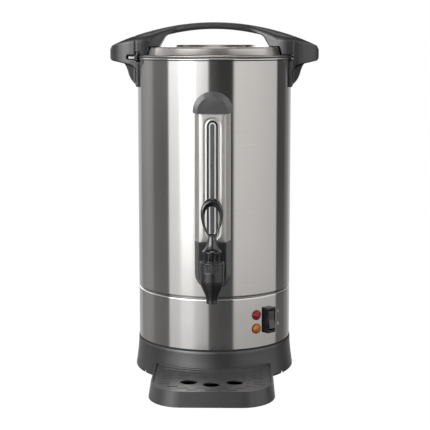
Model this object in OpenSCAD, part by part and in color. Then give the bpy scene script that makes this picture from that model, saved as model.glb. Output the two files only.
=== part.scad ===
// Coffee percolator urn: a steel tank on a heated base, with a sight gauge, a lever tap,
// a twist-on lid under one arched handle, side handles, a rocker switch and a drip tray.
// Millimetres. The origin is on the urn's axis at counter level, the front faces -Y.

/* [Body] */
// Outside diameter of the steel body
body_d = 220; // [200:2:250]
// Sheet thickness of the tank, skirt and lid
wall = 1; // [0.6:0.1:1.4]
// Height of the plastic base ring above the counter
base_h = 46; // [40:1:56]
// Height of the steel skirt between base ring and groove
skirt_h = 75; // [70:1:90]
// Height of the tank from groove to mouth
tank_h = 331; // [300:1:380]
// Height of the tank's floor above the groove
floor_rise = 13; // [10:1:18]
// Radius of the rolled bead round the tank's mouth
bead_r = 2; // [1.6:0.1:2.6]

/* [Base] */
// How far the base ring flares beyond the body
base_flare = 5.6; // [3:0.2:8]
// Wall thickness of the base ring
base_wall = 2.6; // [2:0.2:3.4]
// Height that the feet hold the base ring above the counter
foot_gap = 1.5; // [1:0.1:2]
// Diameter of a rubber foot
foot_d = 18; // [14:1:22]
// Thickness of the steel bottom plate
plate_t = 1.2; // [0.8:0.1:1.6]

/* [Lid] */
// Height of the lid's top edge above the tank's mouth
lid_rise = 14.5; // [12:0.5:20]
// How far the lid's raised middle is set in from the body
lid_inset = 11.5; // [10:0.5:14]
// Diameter of the shallow disc in the middle of the lid
disc_d = 120; // [100:2:130]
// Height of that disc
disc_rise = 3.2; // [2:0.2:5]
// Thickness of the silicone seal under the lid
seal_t = 1.5; // [1:0.1:2]
// Turn that locks the lid, in degrees
lock_turn = 12; // [10:1:13]

/* [Handles] */
// Height of the arch's crown above the tank's mouth
arch_rise = 49.2; // [44:0.5:60]
// How far the handle tips reach beyond the body
tip_reach = 39.5; // [34:0.5:46]
// Drop of the arch's top line from crown to tip
arch_drop = 34.5; // [30:0.5:40]
// Thickness of the grip under the crown
grip_t = 9.6; // [8:0.2:13]
// Width of the grip at the crown
grip_w = 26; // [22:1:32]
// Width of the handles beside the body
handle_w = 56; // [48:1:60]
// Length of the side handles' legs below the mouth
leg_h = 42; // [40:1:60]
// Width of the legs that hug the body
leg_w = 60; // [60:1:70]
// Thickness of those legs
leg_t = 4; // [3.4:0.2:5]
// Gap between the lid's handle and the side handles
seam_gap = 0.6; // [0.5:0.1:1]

/* [Gauge] */
// Width of the gauge's cover at the body
gauge_w = 50.4; // [46:0.4:56]
// Width of the cover's flat front
gauge_face_w = 37; // [32:1:40]
// How far the cover stands out from the body
gauge_out = 18; // [17:0.5:22]
// Height of the cover's lower edge above the groove
cover_rise = 82.4; // [78:0.2:90]
// Distance of the cap's lower edge below the tank's mouth
cap_drop = 73.7; // [66:0.5:90]
// Width of the slot in the cover
slot_w = 15; // [13:0.5:17]
// Width of the clear window in the slot
window_w = 9.8; // [8:0.2:11]
// Outside diameter of the sight tube
tube_d = 10; // [9:0.2:10.4]

/* [Tap] */
// Height of the tap's shank above the groove
tap_rise = 44; // [42:1:47]
// Distance of the tap's axis from the body
tap_reach = 48; // [46:1:54]
// Diameter of the tap's barrel
barrel_d = 33; // [31:0.5:36]
// Diameter of the nozzle
nozzle_d = 15.4; // [14.4:0.2:17]
// Diameter of the nozzle's outlet
outlet_d = 11; // [9:0.5:12]
// Height of the barrel and nozzle together
barrel_h = 57.3; // [56:0.1:62]
// Length of the lever above the bonnet
lever_h = 74.5; // [66:0.5:86]
// Width of the lever's loop
loop_w = 30.4; // [28:0.4:34]
// Tilt that opens the tap fully, in degrees
lever_tilt = 25; // [20:1:25]

/* [Switch and lamps] */
// Turn of the switch round the body from the front, in degrees
switch_turn = 44.9; // [43:0.1:48]
// Turn of the lamps round the body from the front, in degrees
lamp_turn = 33.6; // [28:0.1:34]
// Height of the switch's middle above the base ring
switch_rise = 39.2; // [34:0.2:42]
// Height of the switch's frame
switch_h = 36; // [34:0.5:40]
// Width of the switch's frame
switch_w = 15.6; // [14:0.2:17]
// How far the frame stands out
switch_out = 7.2; // [7:0.2:10]
// Travel of the rocker, in degrees
rocker_turn = 16; // [12:1:18]
// Diameter of a lamp's lens
lamp_d = 12.8; // [11:0.2:14]
// Distance between the two lamps
lamp_pitch = 19.4; // [17:0.2:24]

/* [Drip tray] */
// Width of the tray
tray_w = 164; // [150:1:176]
// Reach of the tray in front of the body
tray_reach = 115; // [105:1:130]
// Height of the tray
tray_h = 21.5; // [18:0.5:26]
// Wall thickness of the tray
tray_wall = 2.2; // [1.8:0.1:3]
// Diameter of the three drain holes
drain_d = 23; // [18:1:24]

/* [Percolator] */
// Diameter of the coffee basket
basket_d = 130; // [110:2:150]
// Height of the coffee basket
basket_h = 58; // [46:1:70]
// Outside diameter of the pump tube
pump_d = 10; // [9:0.5:12]
// Diameter of the pump's foot
pump_foot_d = 60; // [52:1:62]

/* [Hidden] */
$fn = 96;
fine = 256;          // facets of the large rounds that thin pieces are trimmed to

fit = 0.05;          // running clearance round a shaft
gap = 0.4;           // clearance between separate mouldings
overlap = 0.5;       // depth that two shapes of one solid share
body_r = body_d / 2;
inner_r = body_r - wall;
skirt_top_z = base_h + skirt_h;
rim_z = skirt_top_z + tank_h;
floor_z = skirt_top_z + floor_rise;
far = 400;           // longer than any cut

// Places something on the body: local Z points out of the body at this turn from the front,
// local Y points up, and local Z = 0 is the urn's axis.
module at_side(turn, z = 0) {
  rotate([0, 0, turn]) translate([0, 0, z]) rotate([90, 0, 0]) children();
}

// The body's own cylinder as seen from inside at_side(), grown by a clearance.
module upright_body(clear) {
  rotate([-90, 0, 0]) translate([0, 0, -far / 2]) cylinder(r = body_r + clear, h = far, $fn = fine);
}

// Copies something round the axis.
module around(count, start = 0) {
  for (i = [0:count - 1]) rotate([0, 0, start + i * 360 / count]) children();
}

module ring(outer, inner, h) {
  difference() {
    cylinder(r = outer, h = h);
    translate([0, 0, -1]) cylinder(r = inner, h = h + 2);
  }
}

module hex_nut(across, bore, h) {
  difference() {
    cylinder(d = across / cos(30), h = h, $fn = 6);
    translate([0, 0, -1]) cylinder(r = bore, h = h + 2);
  }
}

// Screw with a pan head below Z = 0 and its shaft above it.
module screw(shaft_r, length, head_r, head_h) {
  translate([0, 0, -head_h]) cylinder(r = head_r, h = head_h);
  translate([0, 0, -overlap]) cylinder(r = shaft_r, h = length + overlap);
}

function smooth(t) = let (c = min(1, max(0, t))) c * c * (3 - 2 * c);
function arc_points(cx, cy, rx, ry, from, to, steps) =
  [for (i = [0:steps]) let (a = from + (to - from) * i / steps) [cx + rx * cos(a), cy + ry * sin(a)]];

// ---- Base ----------------------------------------------------------------------------------

ledge_z = base_h - 8;                      // the skirt stands on this ledge
ledge_t = 3;
ring_top_r = body_r + 0.9;
ring_foot_r = body_r + base_flare;
plate_z = foot_gap + 2.5;                  // underside of the bottom plate
plate_r = ring_foot_r - base_wall - 1.4;
boss_r = 5;
boss_place_r = ring_top_r - base_wall - boss_r + 1.2;
screw_r = 2;
tie_r = 2.5;
tie_place_r = body_r - 22;
foot_place_r = body_r - 20;

// Radius of the base ring's outside at a height.
function ring_r(z) = ring_top_r + (ring_foot_r - ring_top_r) * pow(1 - (z - foot_gap) / (base_h - foot_gap), 1.6);

ring_steps = 6;
ring_outside = [for (i = [0:ring_steps]) let (z = base_h - (base_h - foot_gap - 3.5) * i / ring_steps) [ring_r(z), z]];

lug_w = 16;
lug_h = 7;
lug_x = 50;
lug_in = 9;                                // how far the tray's lugs reach into the ring
lug_z = plate_z + plate_t + 2 * gap;
notch_w = 8;
notch_h = 4;

module base_ring() color("#4d4d4f") difference() {
  union() {
    rotate_extrude() polygon(concat(
      [[body_r + 0.15, ledge_z], [body_r + 0.15, base_h]],
      ring_outside,
      [[ring_foot_r - 0.6, foot_gap + 1], [ring_foot_r - 2, foot_gap], [ring_foot_r - base_wall - 1, foot_gap],
       [ring_foot_r - base_wall - 1, plate_z + plate_t + 0.6], [ring_top_r - base_wall, ledge_z - ledge_t - 12],
       [ring_top_r - base_wall, ledge_z - ledge_t], [body_r - 5, ledge_z - ledge_t], [body_r - 5, ledge_z]]));
    around(4, 45) translate([boss_place_r, 0, plate_z + plate_t])
      cylinder(r = boss_r, h = ledge_z - ledge_t - plate_z - plate_t + overlap);
  }
  around(4, 45) translate([boss_place_r, 0, plate_z - 1]) cylinder(r = screw_r, h = 20);
  for (x = [-lug_x, lug_x])
    translate([x - lug_w / 2 - gap, -far, lug_z - gap]) cube([lug_w + 2 * gap, far, lug_h + 2 * gap]);
  for (turn = [-60, 60, 120, -120])
    rotate([0, 0, turn]) translate([-notch_w / 2, -far, -1]) cube([notch_w, far, foot_gap + notch_h + 1]);
}

module base_plate() color("silver") difference() {
  translate([0, 0, plate_z]) cylinder(r = plate_r, h = plate_t);
  around(4, 45) translate([boss_place_r, 0, 0]) cylinder(r = screw_r + 0.2, h = 20);
  around(4, 15) translate([foot_place_r, 0, 0]) cylinder(r = foot_stem_r + fit, h = 20);
  around(3, 30) translate([tie_place_r, 0, 0]) cylinder(r = tie_r + 0.1, h = 20);
  translate([block_x, block_y, 0]) cylinder(r = screw_r + 0.1, h = 20);
}

foot_stem_r = 3;
module rubber_feet() color("#202020") around(4, 15) translate([foot_place_r, 0, 0]) {
  cylinder(d1 = foot_d - 2, d2 = foot_d, h = 1);
  translate([0, 0, 1]) cylinder(d = foot_d, h = plate_z - 1);
  translate([0, 0, plate_z - overlap]) cylinder(r = foot_stem_r, h = plate_t + 2 * overlap);
  translate([0, 0, plate_z + plate_t + 0.1]) cylinder(r1 = foot_stem_r + 0.7, r2 = foot_stem_r - 0.8, h = 3);
}

module base_screws() color("silver") around(4, 45) translate([boss_place_r, 0, plate_z])
  screw(screw_r - fit, 14, 3.6, 2.2);

// The tie rods pull the plate, ring, skirt and tank together.
tie_boss_h = 7;
tie_nut_h = 3;
module tie_rods() color("silver") around(3, 30) translate([tie_place_r, 0, plate_z - tie_nut_h])
  cylinder(r = tie_r, h = floor_z - wall - 1 - (plate_z - tie_nut_h));

module tie_nuts() color("silver") around(3, 30) translate([tie_place_r, 0, plate_z - tie_nut_h])
  hex_nut(8, tie_r + fit, tie_nut_h - 0.02);

// ---- Steel body ----------------------------------------------------------------------------

groove_half = 1.8;                         // half the groove's height
groove_in = 1.9;                           // its depth
neck_r = body_r - groove_in - 0.3;
neck_h = 9;
well_r = 36;                               // the heated well in the tank's floor
well_h = 10;

module skirt() color("#b9b9b9") difference() {
  rotate_extrude() polygon([
    [inner_r, ledge_z + 0.02], [body_r, ledge_z + 0.02], [body_r, skirt_top_z - groove_half],
    [body_r - 0.8, skirt_top_z - 0.7], [body_r - groove_in, skirt_top_z - 0.2],
    [body_r - groove_in, skirt_top_z - 0.2 - wall], [inner_r, skirt_top_z - groove_half - wall]]);
  at_side(switch_turn, switch_z) translate([-switch_cut_w / 2, -switch_cut_h / 2, 0]) cube([switch_cut_w, switch_cut_h, far]);
  for (z = lamp_zs) at_side(lamp_turn, z) cylinder(r = lamp_body_r + 0.1, h = far);
  at_side(180, inlet_z) translate([-inlet_w / 2 - 0.1, -inlet_h / 2 - 0.1, 0]) cube([inlet_w + 0.2, inlet_h + 0.2, far]);
  for (x = [-inlet_pitch / 2, inlet_pitch / 2]) at_side(180, inlet_z) translate([x, 0, 0]) cylinder(r = inlet_screw_r + 0.1, h = far);
}

module water_tank() color("#c4c4c4") difference() {
  union() {
    rotate_extrude() union() {
      polygon([
        [neck_r - wall, skirt_top_z - neck_h], [neck_r, skirt_top_z - neck_h], [neck_r, skirt_top_z + 0.2],
        [body_r - 0.8, skirt_top_z + 0.7], [body_r, skirt_top_z + groove_half], [body_r, rim_z - bead_r],
        [inner_r, rim_z - bead_r], [inner_r, skirt_top_z + groove_half + wall], [neck_r - wall, skirt_top_z + 0.2 + wall]]);
      translate([body_r - 0.3, rim_z - bead_r]) circle(r = bead_r);
    }
    rotate_extrude() polygon([
      [0, floor_z - well_h - wall], [well_r - 1, floor_z - well_h - wall], [well_r + 3, floor_z - wall],
      [inner_r + wall / 2, floor_z - wall], [inner_r + wall / 2, floor_z], [well_r + 2.2, floor_z],
      [well_r - 1.8, floor_z - well_h], [0, floor_z - well_h]]);
    around(3, 30) translate([tie_place_r, 0, floor_z - wall - tie_boss_h])
      ring(tie_r + 2.5, tie_r + fit, tie_boss_h + overlap / 2);
    for (x = [-stud_x, stud_x]) translate([x, 0, stud_end_z]) cylinder(r = stud_r, h = floor_z - wall / 2 - stud_end_z);
    for (y = [-thermo_y, thermo_y], x = [-thermo_pitch / 2, thermo_pitch / 2])
      translate([x, y, floor_z - 12]) cylinder(r = thermo_stud_r, h = 12 - wall / 2);
  }
  at_side(0, tap_z) cylinder(r = shank_r + 0.1, h = far);
  at_side(0, vent_z) cylinder(r = vent_r + 0.1, h = far);
  for (turn = [-90, 90], z = handle_screw_zs) at_side(turn, z) cylinder(r = handle_screw_r + 0.1, h = far);
}

// ---- Heating and wiring under the tank -------------------------------------------------------

heater_h = 10;
heater_r = well_r - 3;
clamp_t = 2;
stud_r = 2.5;
stud_x = well_r + 9;
heater_z = floor_z - well_h - wall - heater_h;     // underside of the heater block
stud_end_z = heater_z - clamp_t - 6;
thermo_y = well_r + 11;
thermo_r = 7;
thermo_pitch = 24;
thermo_stud_r = 1.5;
ring_in = well_r + 20;
ring_out = tie_place_r - tie_r - 4;

module main_heater() color("#a8a8a0") {
  translate([0, 0, heater_z]) cylinder(r = heater_r, h = heater_h);
  for (x = [-14, 14]) translate([x, -heater_r + 4, heater_z - 9]) cylinder(r = 2.2, h = 9 + overlap);
}

module warming_ring() color("#8a7a5c") translate([0, 0, floor_z - wall - 2]) ring(ring_out, ring_in, 2);

module heater_clamp() color("silver") difference() {
  translate([-stud_x - 8, -8, heater_z - clamp_t]) cube([2 * stud_x + 16, 16, clamp_t]);
  for (x = [-stud_x, stud_x]) translate([x, 0, 0]) cylinder(r = stud_r + 0.1, h = far);
}

module heater_nuts() color("silver") for (x = [-stud_x, stud_x]) translate([x, 0, heater_z - clamp_t - 4])
  hex_nut(8, stud_r + fit, 4);

// Snap-disc thermostat that touches the underside of the tank's floor.
module thermostat() {
  body_h = 6;
  difference() {
    union() {
      translate([0, 0, -body_h]) cylinder(r = thermo_r, h = body_h);
      translate([-thermo_pitch / 2 - 4, -4, -body_h]) cube([thermo_pitch + 8, 8, 1]);
    }
    for (x = [-thermo_pitch / 2, thermo_pitch / 2]) translate([x, 0, -body_h - 1]) cylinder(r = thermo_stud_r + 0.1, h = 4);
  }
  for (x = [-4, 4]) translate([x - 0.4, -3, -body_h - 8]) cube([0.8, 6, 8 + overlap]);
}

module boil_thermostat() color("#3a2b22") translate([0, thermo_y, floor_z - wall]) thermostat();
module safety_cutout() color("#2b2b30") translate([0, -thermo_y, floor_z - wall]) thermostat();

module thermostat_nuts() color("silver")
  for (y = [-thermo_y, thermo_y], x = [-thermo_pitch / 2, thermo_pitch / 2])
    translate([x, y, floor_z - wall - 6 - 2]) hex_nut(5, thermo_stud_r + fit, 2);

block_x = 36;
block_y = 40;
module terminal_block() color("#e8e4d8") difference() {
  translate([block_x - 17, block_y - 10, plate_z + plate_t]) cube([34, 20, 18]);
  translate([block_x, block_y, 0]) cylinder(r = screw_r + 0.1, h = far);
  for (x = [-11, 11], y = [-5, 5]) translate([block_x + x, block_y + y, plate_z + plate_t + 4]) cylinder(r = 2, h = far);
}

// ---- Power inlet at the back -----------------------------------------------------------------

inlet_w = 27;
inlet_h = 20;
inlet_z = base_h + 30;
inlet_pitch = 40;
inlet_screw_r = 1.6;
inlet_out = 4;
inlet_depth = 26;
pin_w = 2;

module power_inlet() color("#1d1d1f") difference() {
  at_side(180, inlet_z) difference() {
    union() {
      translate([-inlet_w / 2, -inlet_h / 2, body_r - inlet_depth]) cube([inlet_w, inlet_h, inlet_depth + overlap]);
      difference() {
        translate([-inlet_pitch / 2 - 5, -inlet_h / 2 - 2, body_r - 5]) cube([inlet_pitch + 10, inlet_h + 4, inlet_out + 5]);
        upright_body(0.05);
      }
    }
    translate([-inlet_w / 2 + 1.6, -inlet_h / 2 + 1.6, body_r - inlet_depth + 8]) cube([inlet_w - 3.2, inlet_h - 3.2, far]);
    for (x = [-inlet_pitch / 2, inlet_pitch / 2]) translate([x, 0, 0]) cylinder(r = inlet_screw_r + 0.1, h = far);
    for (p = pin_places) translate([p[0] - pin_w / 2 - fit, p[1] - 2 - fit, 0]) cube([pin_w + 2 * fit, 4 + 2 * fit, far]);
  }
}

pin_places = [[-7, -3], [7, -3], [0, 3]];
module inlet_pins() color("#c9a24a") at_side(180, inlet_z)
  for (p = pin_places) translate([p[0] - pin_w / 2, p[1] - 2, body_r - inlet_depth - 7]) cube([pin_w, 4, inlet_depth + 3]);

module inlet_screws() color("silver") at_side(180, inlet_z)
  for (x = [-inlet_pitch / 2, inlet_pitch / 2]) translate([x, 0, body_r + inlet_out]) rotate([180, 0, 0])
    screw(inlet_screw_r, 12, 2.8, 1.6);

// ---- Switch and lamps ------------------------------------------------------------------------

switch_z = base_h + switch_rise;
switch_cut_w = switch_w - 3;
switch_cut_h = switch_h - 7;
window_h = switch_h - 7.5;                 // hole in the frame for the rocker
rocker_w = switch_w - 5;
rocker_h = window_h - 3;
rocker_pin_r = 1.5;
rocker_at = body_r + switch_out - 5;       // pivot's distance from the urn's axis

module switch_frame() color("#19191b") at_side(switch_turn, switch_z) difference() {
  union() {
    difference() {
      translate([-switch_w / 2, -switch_h / 2, body_r - 3]) cube([switch_w, switch_h, switch_out + 3]);
      upright_body(0.05);
    }
    translate([-switch_cut_w / 2 + 0.1, -switch_cut_h / 2 + 0.1, body_r - 22])
      cube([switch_cut_w - 0.2, switch_cut_h - 0.2, 24]);
  }
  translate([-rocker_w / 2 - gap, -window_h / 2, rocker_at - 9]) cube([rocker_w + 2 * gap, window_h, far]);
  translate([-rocker_w / 2 - 1.6, 0, rocker_at]) rotate([0, 90, 0]) cylinder(r = rocker_pin_r + fit, h = rocker_w + 3.2);
}

// The rocker rests with its lower end pressed in.
module switch_rocker() color("#2a2a2d") at_side(switch_turn, switch_z) translate([0, 0, rocker_at])
  rotate([-rocker_turn / 2, 0, 0]) {
    rotate([0, -90, 0]) translate([0, 0, -rocker_w / 2]) linear_extrude(rocker_w)
      polygon([[-5, -rocker_h / 3], [-5, rocker_h / 3], [0, rocker_h / 2], [6.2, rocker_h / 2 - 0.4], [4.2, 0],
               [6.2, -rocker_h / 2 + 0.4], [0, -rocker_h / 2]]);
    translate([-rocker_w / 2 - 1.4, 0, 0]) rotate([0, 90, 0]) cylinder(r = rocker_pin_r, h = rocker_w + 2.8);
  }

lamp_body_r = 4.6;
lamp_zs = [switch_z + lamp_pitch / 2 - 0.4, switch_z - lamp_pitch / 2 - 0.4];

module lamp_lens(z) at_side(lamp_turn, z) {
  difference() {
    union() {
      translate([0, 0, body_r - 2]) cylinder(d = lamp_d, h = 3.4);
      translate([0, 0, body_r + 1.4]) cylinder(d1 = lamp_d - 1.6, d2 = lamp_d - 5, h = 1.6);
    }
    upright_body(0.05);
  }
}
module boil_lamp_lens() color("#b3282b") lamp_lens(lamp_zs[0]);
module ready_lamp_lens() color("#d98a1f") lamp_lens(lamp_zs[1]);

module lamp_bodies() color("#d8d4c8") for (z = lamp_zs) at_side(lamp_turn, z) {
  translate([0, 0, body_r - 20]) cylinder(r = lamp_body_r, h = 19.8);
  translate([0, 0, inner_r - 5]) ring(lamp_body_r + 2, lamp_body_r - 0.2, 3.5);
}

// ---- Tap --------------------------------------------------------------------------------------

tap_z = skirt_top_z + tap_rise;
tap_y = -(body_r + tap_reach);             // the barrel's axis
shank_r = 6.9;
bore_r = 4.5;
shank_flange_r = 11;
barrel_r = barrel_d / 2;
barrel_top_z = tap_z + 17.7;
tip_z = barrel_top_z - barrel_h;
seat_z = tap_z - 13;
chamber_r = 11.5;
nozzle_r = nozzle_d / 2;
outlet_r = outlet_d / 2;
stem_r = 2.5;
bonnet_top_z = barrel_top_z + 11.1;
pin_z = bonnet_top_z + 5.2;
pin_r = 1.2;
tube_y = -(body_r + 8);                    // the sight tube's axis
tube_r = tube_d / 2;
tube_foot_z = tap_z + 9;
socket_r = tube_r + 1.6;
face_y = -(body_r + gauge_out);            // the gauge cover's front

module tap_shank() color("#d0d0d0") difference() {
  union() {
    translate([0, -(body_r - 12), tap_z]) rotate([90, 0, 0]) cylinder(r = shank_r, h = -tap_y - body_r + 12 - chamber_r - 1.5);
    translate([0, face_y - gap, tap_z]) rotate([90, 0, 0]) cylinder(r = shank_flange_r, h = 3);
    translate([0, tube_y, tap_z]) cylinder(r = socket_r, h = tube_foot_z + 8 - tap_z);
  }
  translate([0, 0, tap_z]) rotate([90, 0, 0]) cylinder(r = bore_r, h = far);
  translate([0, tube_y, tap_z]) cylinder(r = tube_r - 1.6, h = far);
  translate([0, tube_y, tube_foot_z]) cylinder(r = tube_r + fit, h = far);
}

washer_t = 2.6;
module shank_washer() color("#b04038") intersection() {
  translate([0, -inner_r + washer_t, tap_z]) rotate([90, 0, 0]) ring(shank_r + 5, shank_r + fit, washer_t);
  cylinder(r = inner_r - 0.02, h = rim_z, $fn = fine);
}

module shank_nut() color("#d0d0d0") translate([0, -inner_r + washer_t, tap_z]) rotate([-90, 0, 0])
  hex_nut(20, shank_r + fit, 6);

// Outside of the barrel and nozzle, from the tip up.
taper = [
  [nozzle_r, tip_z], [nozzle_r, tip_z + 5], [nozzle_r + 0.9, tip_z + 9.6], [nozzle_r + 2.8, tip_z + 14.6],
  [barrel_r - 2.9, tip_z + 21.3], [barrel_r - 0.8, tip_z + 27], [barrel_r - 0.2, tip_z + 31],
  [barrel_r, barrel_top_z - 0.8], [barrel_r - 0.8, barrel_top_z]];

module tap_barrel() color("#1a1a1c") difference() {
  union() {
    translate([0, tap_y, 0]) rotate_extrude() polygon(concat([[0, tip_z]], taper, [[0, barrel_top_z]]));
    translate([0, tap_y + barrel_r - 4, tap_z]) rotate([-90, 0, 0]) cylinder(r = 10, h = face_y - 3.4 - gap - (tap_y + barrel_r - 4));
  }
  translate([0, tap_y, tip_z - 1]) cylinder(r = outlet_r, h = seat_z - tip_z + 2);
  translate([0, tap_y, seat_z]) cylinder(r = chamber_r, h = far);
  translate([0, tap_y, tap_z]) rotate([-90, 0, 0]) cylinder(r = shank_r + fit, h = far);
  for (i = [-4:4]) translate([0, tap_y, barrel_top_z - 14]) rotate([0, 0, i * 9])
    translate([-0.6, -barrel_r - 1, 0]) cube([1.2, 1.5, 12]);
}

module tap_bonnet() color("#141416") difference() {
  translate([0, tap_y, 0]) union() {
    translate([0, 0, barrel_top_z - 6]) cylinder(r = chamber_r - fit, h = 6 + overlap);
    translate([0, 0, barrel_top_z]) cylinder(r = chamber_r + 1.5, h = 1.2);
    translate([0, 0, barrel_top_z + 1]) cylinder(r1 = chamber_r - 3, r2 = chamber_r, h = bonnet_top_z - barrel_top_z - 1);
    around(8, 22.5) translate([-0.6, -chamber_r + 0.2, barrel_top_z + 1]) cube([1.2, 4, bonnet_top_z - barrel_top_z - 1]);
  }
  translate([0, tap_y, 0]) cylinder(r = stem_r + fit, h = far);
}

module tap_stem() color("#c8c8c8") difference() {
  translate([0, tap_y, seat_z + 4]) cylinder(r = stem_r, h = pin_z + 4 - seat_z - 4);
  translate([-far / 2, tap_y, pin_z]) rotate([0, 90, 0]) cylinder(r = pin_r + 0.01, h = far);
}

module seat_cup() color("#8f3a32") difference() {
  translate([0, tap_y, seat_z + 0.1]) union() {
    cylinder(r1 = outlet_r + 1.2, r2 = chamber_r - 2, h = 3);
    translate([0, 0, 3]) cylinder(r = chamber_r - 2, h = 4);
  }
  translate([0, tap_y, seat_z + 4]) cylinder(r = stem_r + fit, h = far);
}

// Closing spring between the seat cup and the bonnet.
spring_from_z = seat_z + 7.2;
spring_to_z = barrel_top_z - 6.1;
spring_wire_r = 0.6;
spring_r = 5.2;
spring_turns = 5;
spring_steps = 16;
spring_sides = 6;
spring_rings = spring_turns * spring_steps;

function spring_point(i, j) =
  let (a = 360 * i / spring_steps, b = 360 * j / spring_sides,
       r = spring_r + spring_wire_r * cos(b),
       z = spring_from_z + spring_wire_r + (spring_to_z - spring_from_z - 2 * spring_wire_r) * i / spring_rings)
  [r * cos(a), tap_y + r * sin(a), z + spring_wire_r * sin(b)];

module tap_spring() color("#9a9a9a") polyhedron(
  points = [for (i = [0:spring_rings], j = [0:spring_sides - 1]) spring_point(i, j)],
  faces = concat(
    [[for (j = [0:spring_sides - 1]) j]],
    [[for (j = [0:spring_sides - 1]) spring_rings * spring_sides + spring_sides - 1 - j]],
    [for (i = [0:spring_rings - 1], j = [0:spring_sides - 1])
      let (k = (j + 1) % spring_sides, low = i * spring_sides, high = low + spring_sides)
      [low + k, low + j, high + j, high + k]]));

module lever_pin() color("#c8c8c8") translate([-7.5, tap_y, pin_z]) rotate([0, 90, 0]) cylinder(r = pin_r, h = 15);

loop_top_z = bonnet_top_z + lever_h;
loop_h = 53.6;
loop_depth = 9;
loop_hole_w = loop_w - 10;
loop_hole_h = 39.5;
loop_hole_top = 11.4;                      // the loop's top is this thick, for the thumb
neck_z = bonnet_top_z + 17;
neck_r2 = 6.4;

// Egg with its round end up, hung from its top.
module egg(width, height, top) polygon([for (i = [0:35]) let (a = i * 10)
  [width / 2 * sin(a) * (1 + 0.26 * cos(a)) / 1.03, top - height / 2 + height / 2 * cos(a)]]);

module tap_lever() color("#202023") difference() {
  union() {
    translate([0, tap_y, bonnet_top_z + gap]) {
      cylinder(r = 12.8, h = 2.6);
      translate([0, 0, 2.5]) cylinder(r1 = 12.4, r2 = 8.6, h = 6);
      translate([0, 0, 8.4]) cylinder(r1 = 8.7, r2 = neck_r2, h = neck_z - bonnet_top_z - 8.4);
    }
    translate([0, tap_y, neck_z]) cylinder(r1 = neck_r2, r2 = 4, h = 8);
    translate([0, tap_y, 0]) upright(loop_depth) difference() {
      egg(loop_w, loop_h, loop_top_z);
      egg(loop_hole_w, loop_hole_h, loop_top_z - loop_hole_top);
    }
  }
  translate([-stem_r - 0.3, tap_y - 5.2, bonnet_top_z - 1])
    cube([2 * stem_r + 0.6, 10.4, pin_z + 5.4 - bonnet_top_z + 1]);
  translate([-8, tap_y, pin_z]) rotate([0, 90, 0]) cylinder(r = pin_r + fit, h = 16);
}

// ---- Sight gauge ------------------------------------------------------------------------------

cover_z = skirt_top_z + cover_rise;
cap_z = rim_z - cap_drop;
cover_t = 0.8;
shell_t = 2;
window_t = 2.4;
bezel_foot_z = cover_z + 6.6;
bezel_top_z = cap_z - 9.1;
bezel_rim = (slot_w - window_w) / 2;
vent_z = cap_z + 12.5;
vent_r = 4;
gauge_back = 4;                            // the channel's sides run this deep before the body trims them

// Half the gauge's width at a distance out from the body, for a shape grown by extra.
function gauge_half(out, extra) =
  gauge_w / 2 + extra - (gauge_w - gauge_face_w) / 2 * (out + gauge_back) / (gauge_out + gauge_back);

// Straight channel of the gauge's section, grown or shrunk by extra.
module channel(from_z, to_z, extra) {
  out = gauge_out + extra;
  translate([0, 0, from_z]) linear_extrude(to_z - from_z) polygon([
    [-gauge_half(-gauge_back, extra), -body_r + gauge_back], [-gauge_half(out, extra), -body_r - out],
    [gauge_half(out, extra), -body_r - out], [gauge_half(-gauge_back, extra), -body_r + gauge_back]]);
}

// Round end of the same section.
module round_end(z, extra) {
  out = gauge_out + extra;
  translate([0, -body_r + gauge_back, z]) rotate([90, 0, 0])
    cylinder(r1 = gauge_half(-gauge_back, extra), r2 = gauge_half(out, extra), h = out + gauge_back);
}

module body_cut(clear = 0.1) {
  cylinder(r = body_r + clear, h = rim_z + 50, $fn = fine);
}

module stadium(width, from_z, to_z) {
  translate([0, from_z + width / 2]) circle(d = width);
  translate([0, to_z - width / 2]) circle(d = width);
  translate([-width / 2, from_z + width / 2]) square([width, to_z - from_z - width]);
}

// Extrudes an upright shape from one distance in front of the axis to another.
module forward(from_y, to_y) {
  translate([0, -from_y, 0]) rotate([90, 0, 0]) linear_extrude(to_y - from_y) children();
}

module gauge_tube() color("#dfe8ea", 0.5) translate([0, tube_y, tube_foot_z]) ring(tube_r, tube_r - 1.4, cap_z + 5 - tube_foot_z);

module gauge_grommets() color("#d8d8d8") {
  translate([0, tube_y, tube_foot_z + 8.1]) ring(socket_r + 0.6, tube_r + fit, 4);
  difference() {
    translate([0, tube_y, cap_z - 5]) ring(socket_r + 0.4, tube_r + fit, 7.8);
    body_cut(0.6);
  }
}

module gauge_cover() color("#d6d6d4") difference() {
  channel(cover_z, cap_z + 6, 0);
  difference() {
    channel(cover_z - 1, cap_z + 7, -cover_t);
    forward(body_r + gauge_out - cover_t - 1.2, body_r + gauge_out) difference() {
      stadium(slot_w + 3, bezel_foot_z - 1.5, bezel_top_z + 1.5);
      stadium(slot_w, bezel_foot_z, bezel_top_z);
    }
  }
  forward(body_r, body_r + gauge_out + 1) stadium(slot_w, bezel_foot_z, bezel_top_z);
  body_cut();
}

module gauge_bezel() color("#101012") difference() {
  forward(body_r + gauge_out - 3.4, body_r + gauge_out - 0.6) stadium(slot_w - 0.1, bezel_foot_z + fit, bezel_top_z - fit);
  forward(body_r, body_r + gauge_out + 1)
    stadium(window_w, bezel_foot_z + bezel_rim, bezel_top_z - bezel_rim);
}

module gauge_window() color("#cfd6d8", 0.6)
  forward(body_r + gauge_out - 3.2, body_r + gauge_out - 3.2 + window_t)
    stadium(window_w - 0.1, bezel_foot_z + bezel_rim + fit, bezel_top_z - bezel_rim - fit);

cap_grow = 2.6;
cap_mid_z = cap_z + 2.6;                   // the cap is straight up to here and round above
lip_h = 6.2;                               // the cap laps this far over the cover

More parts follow.
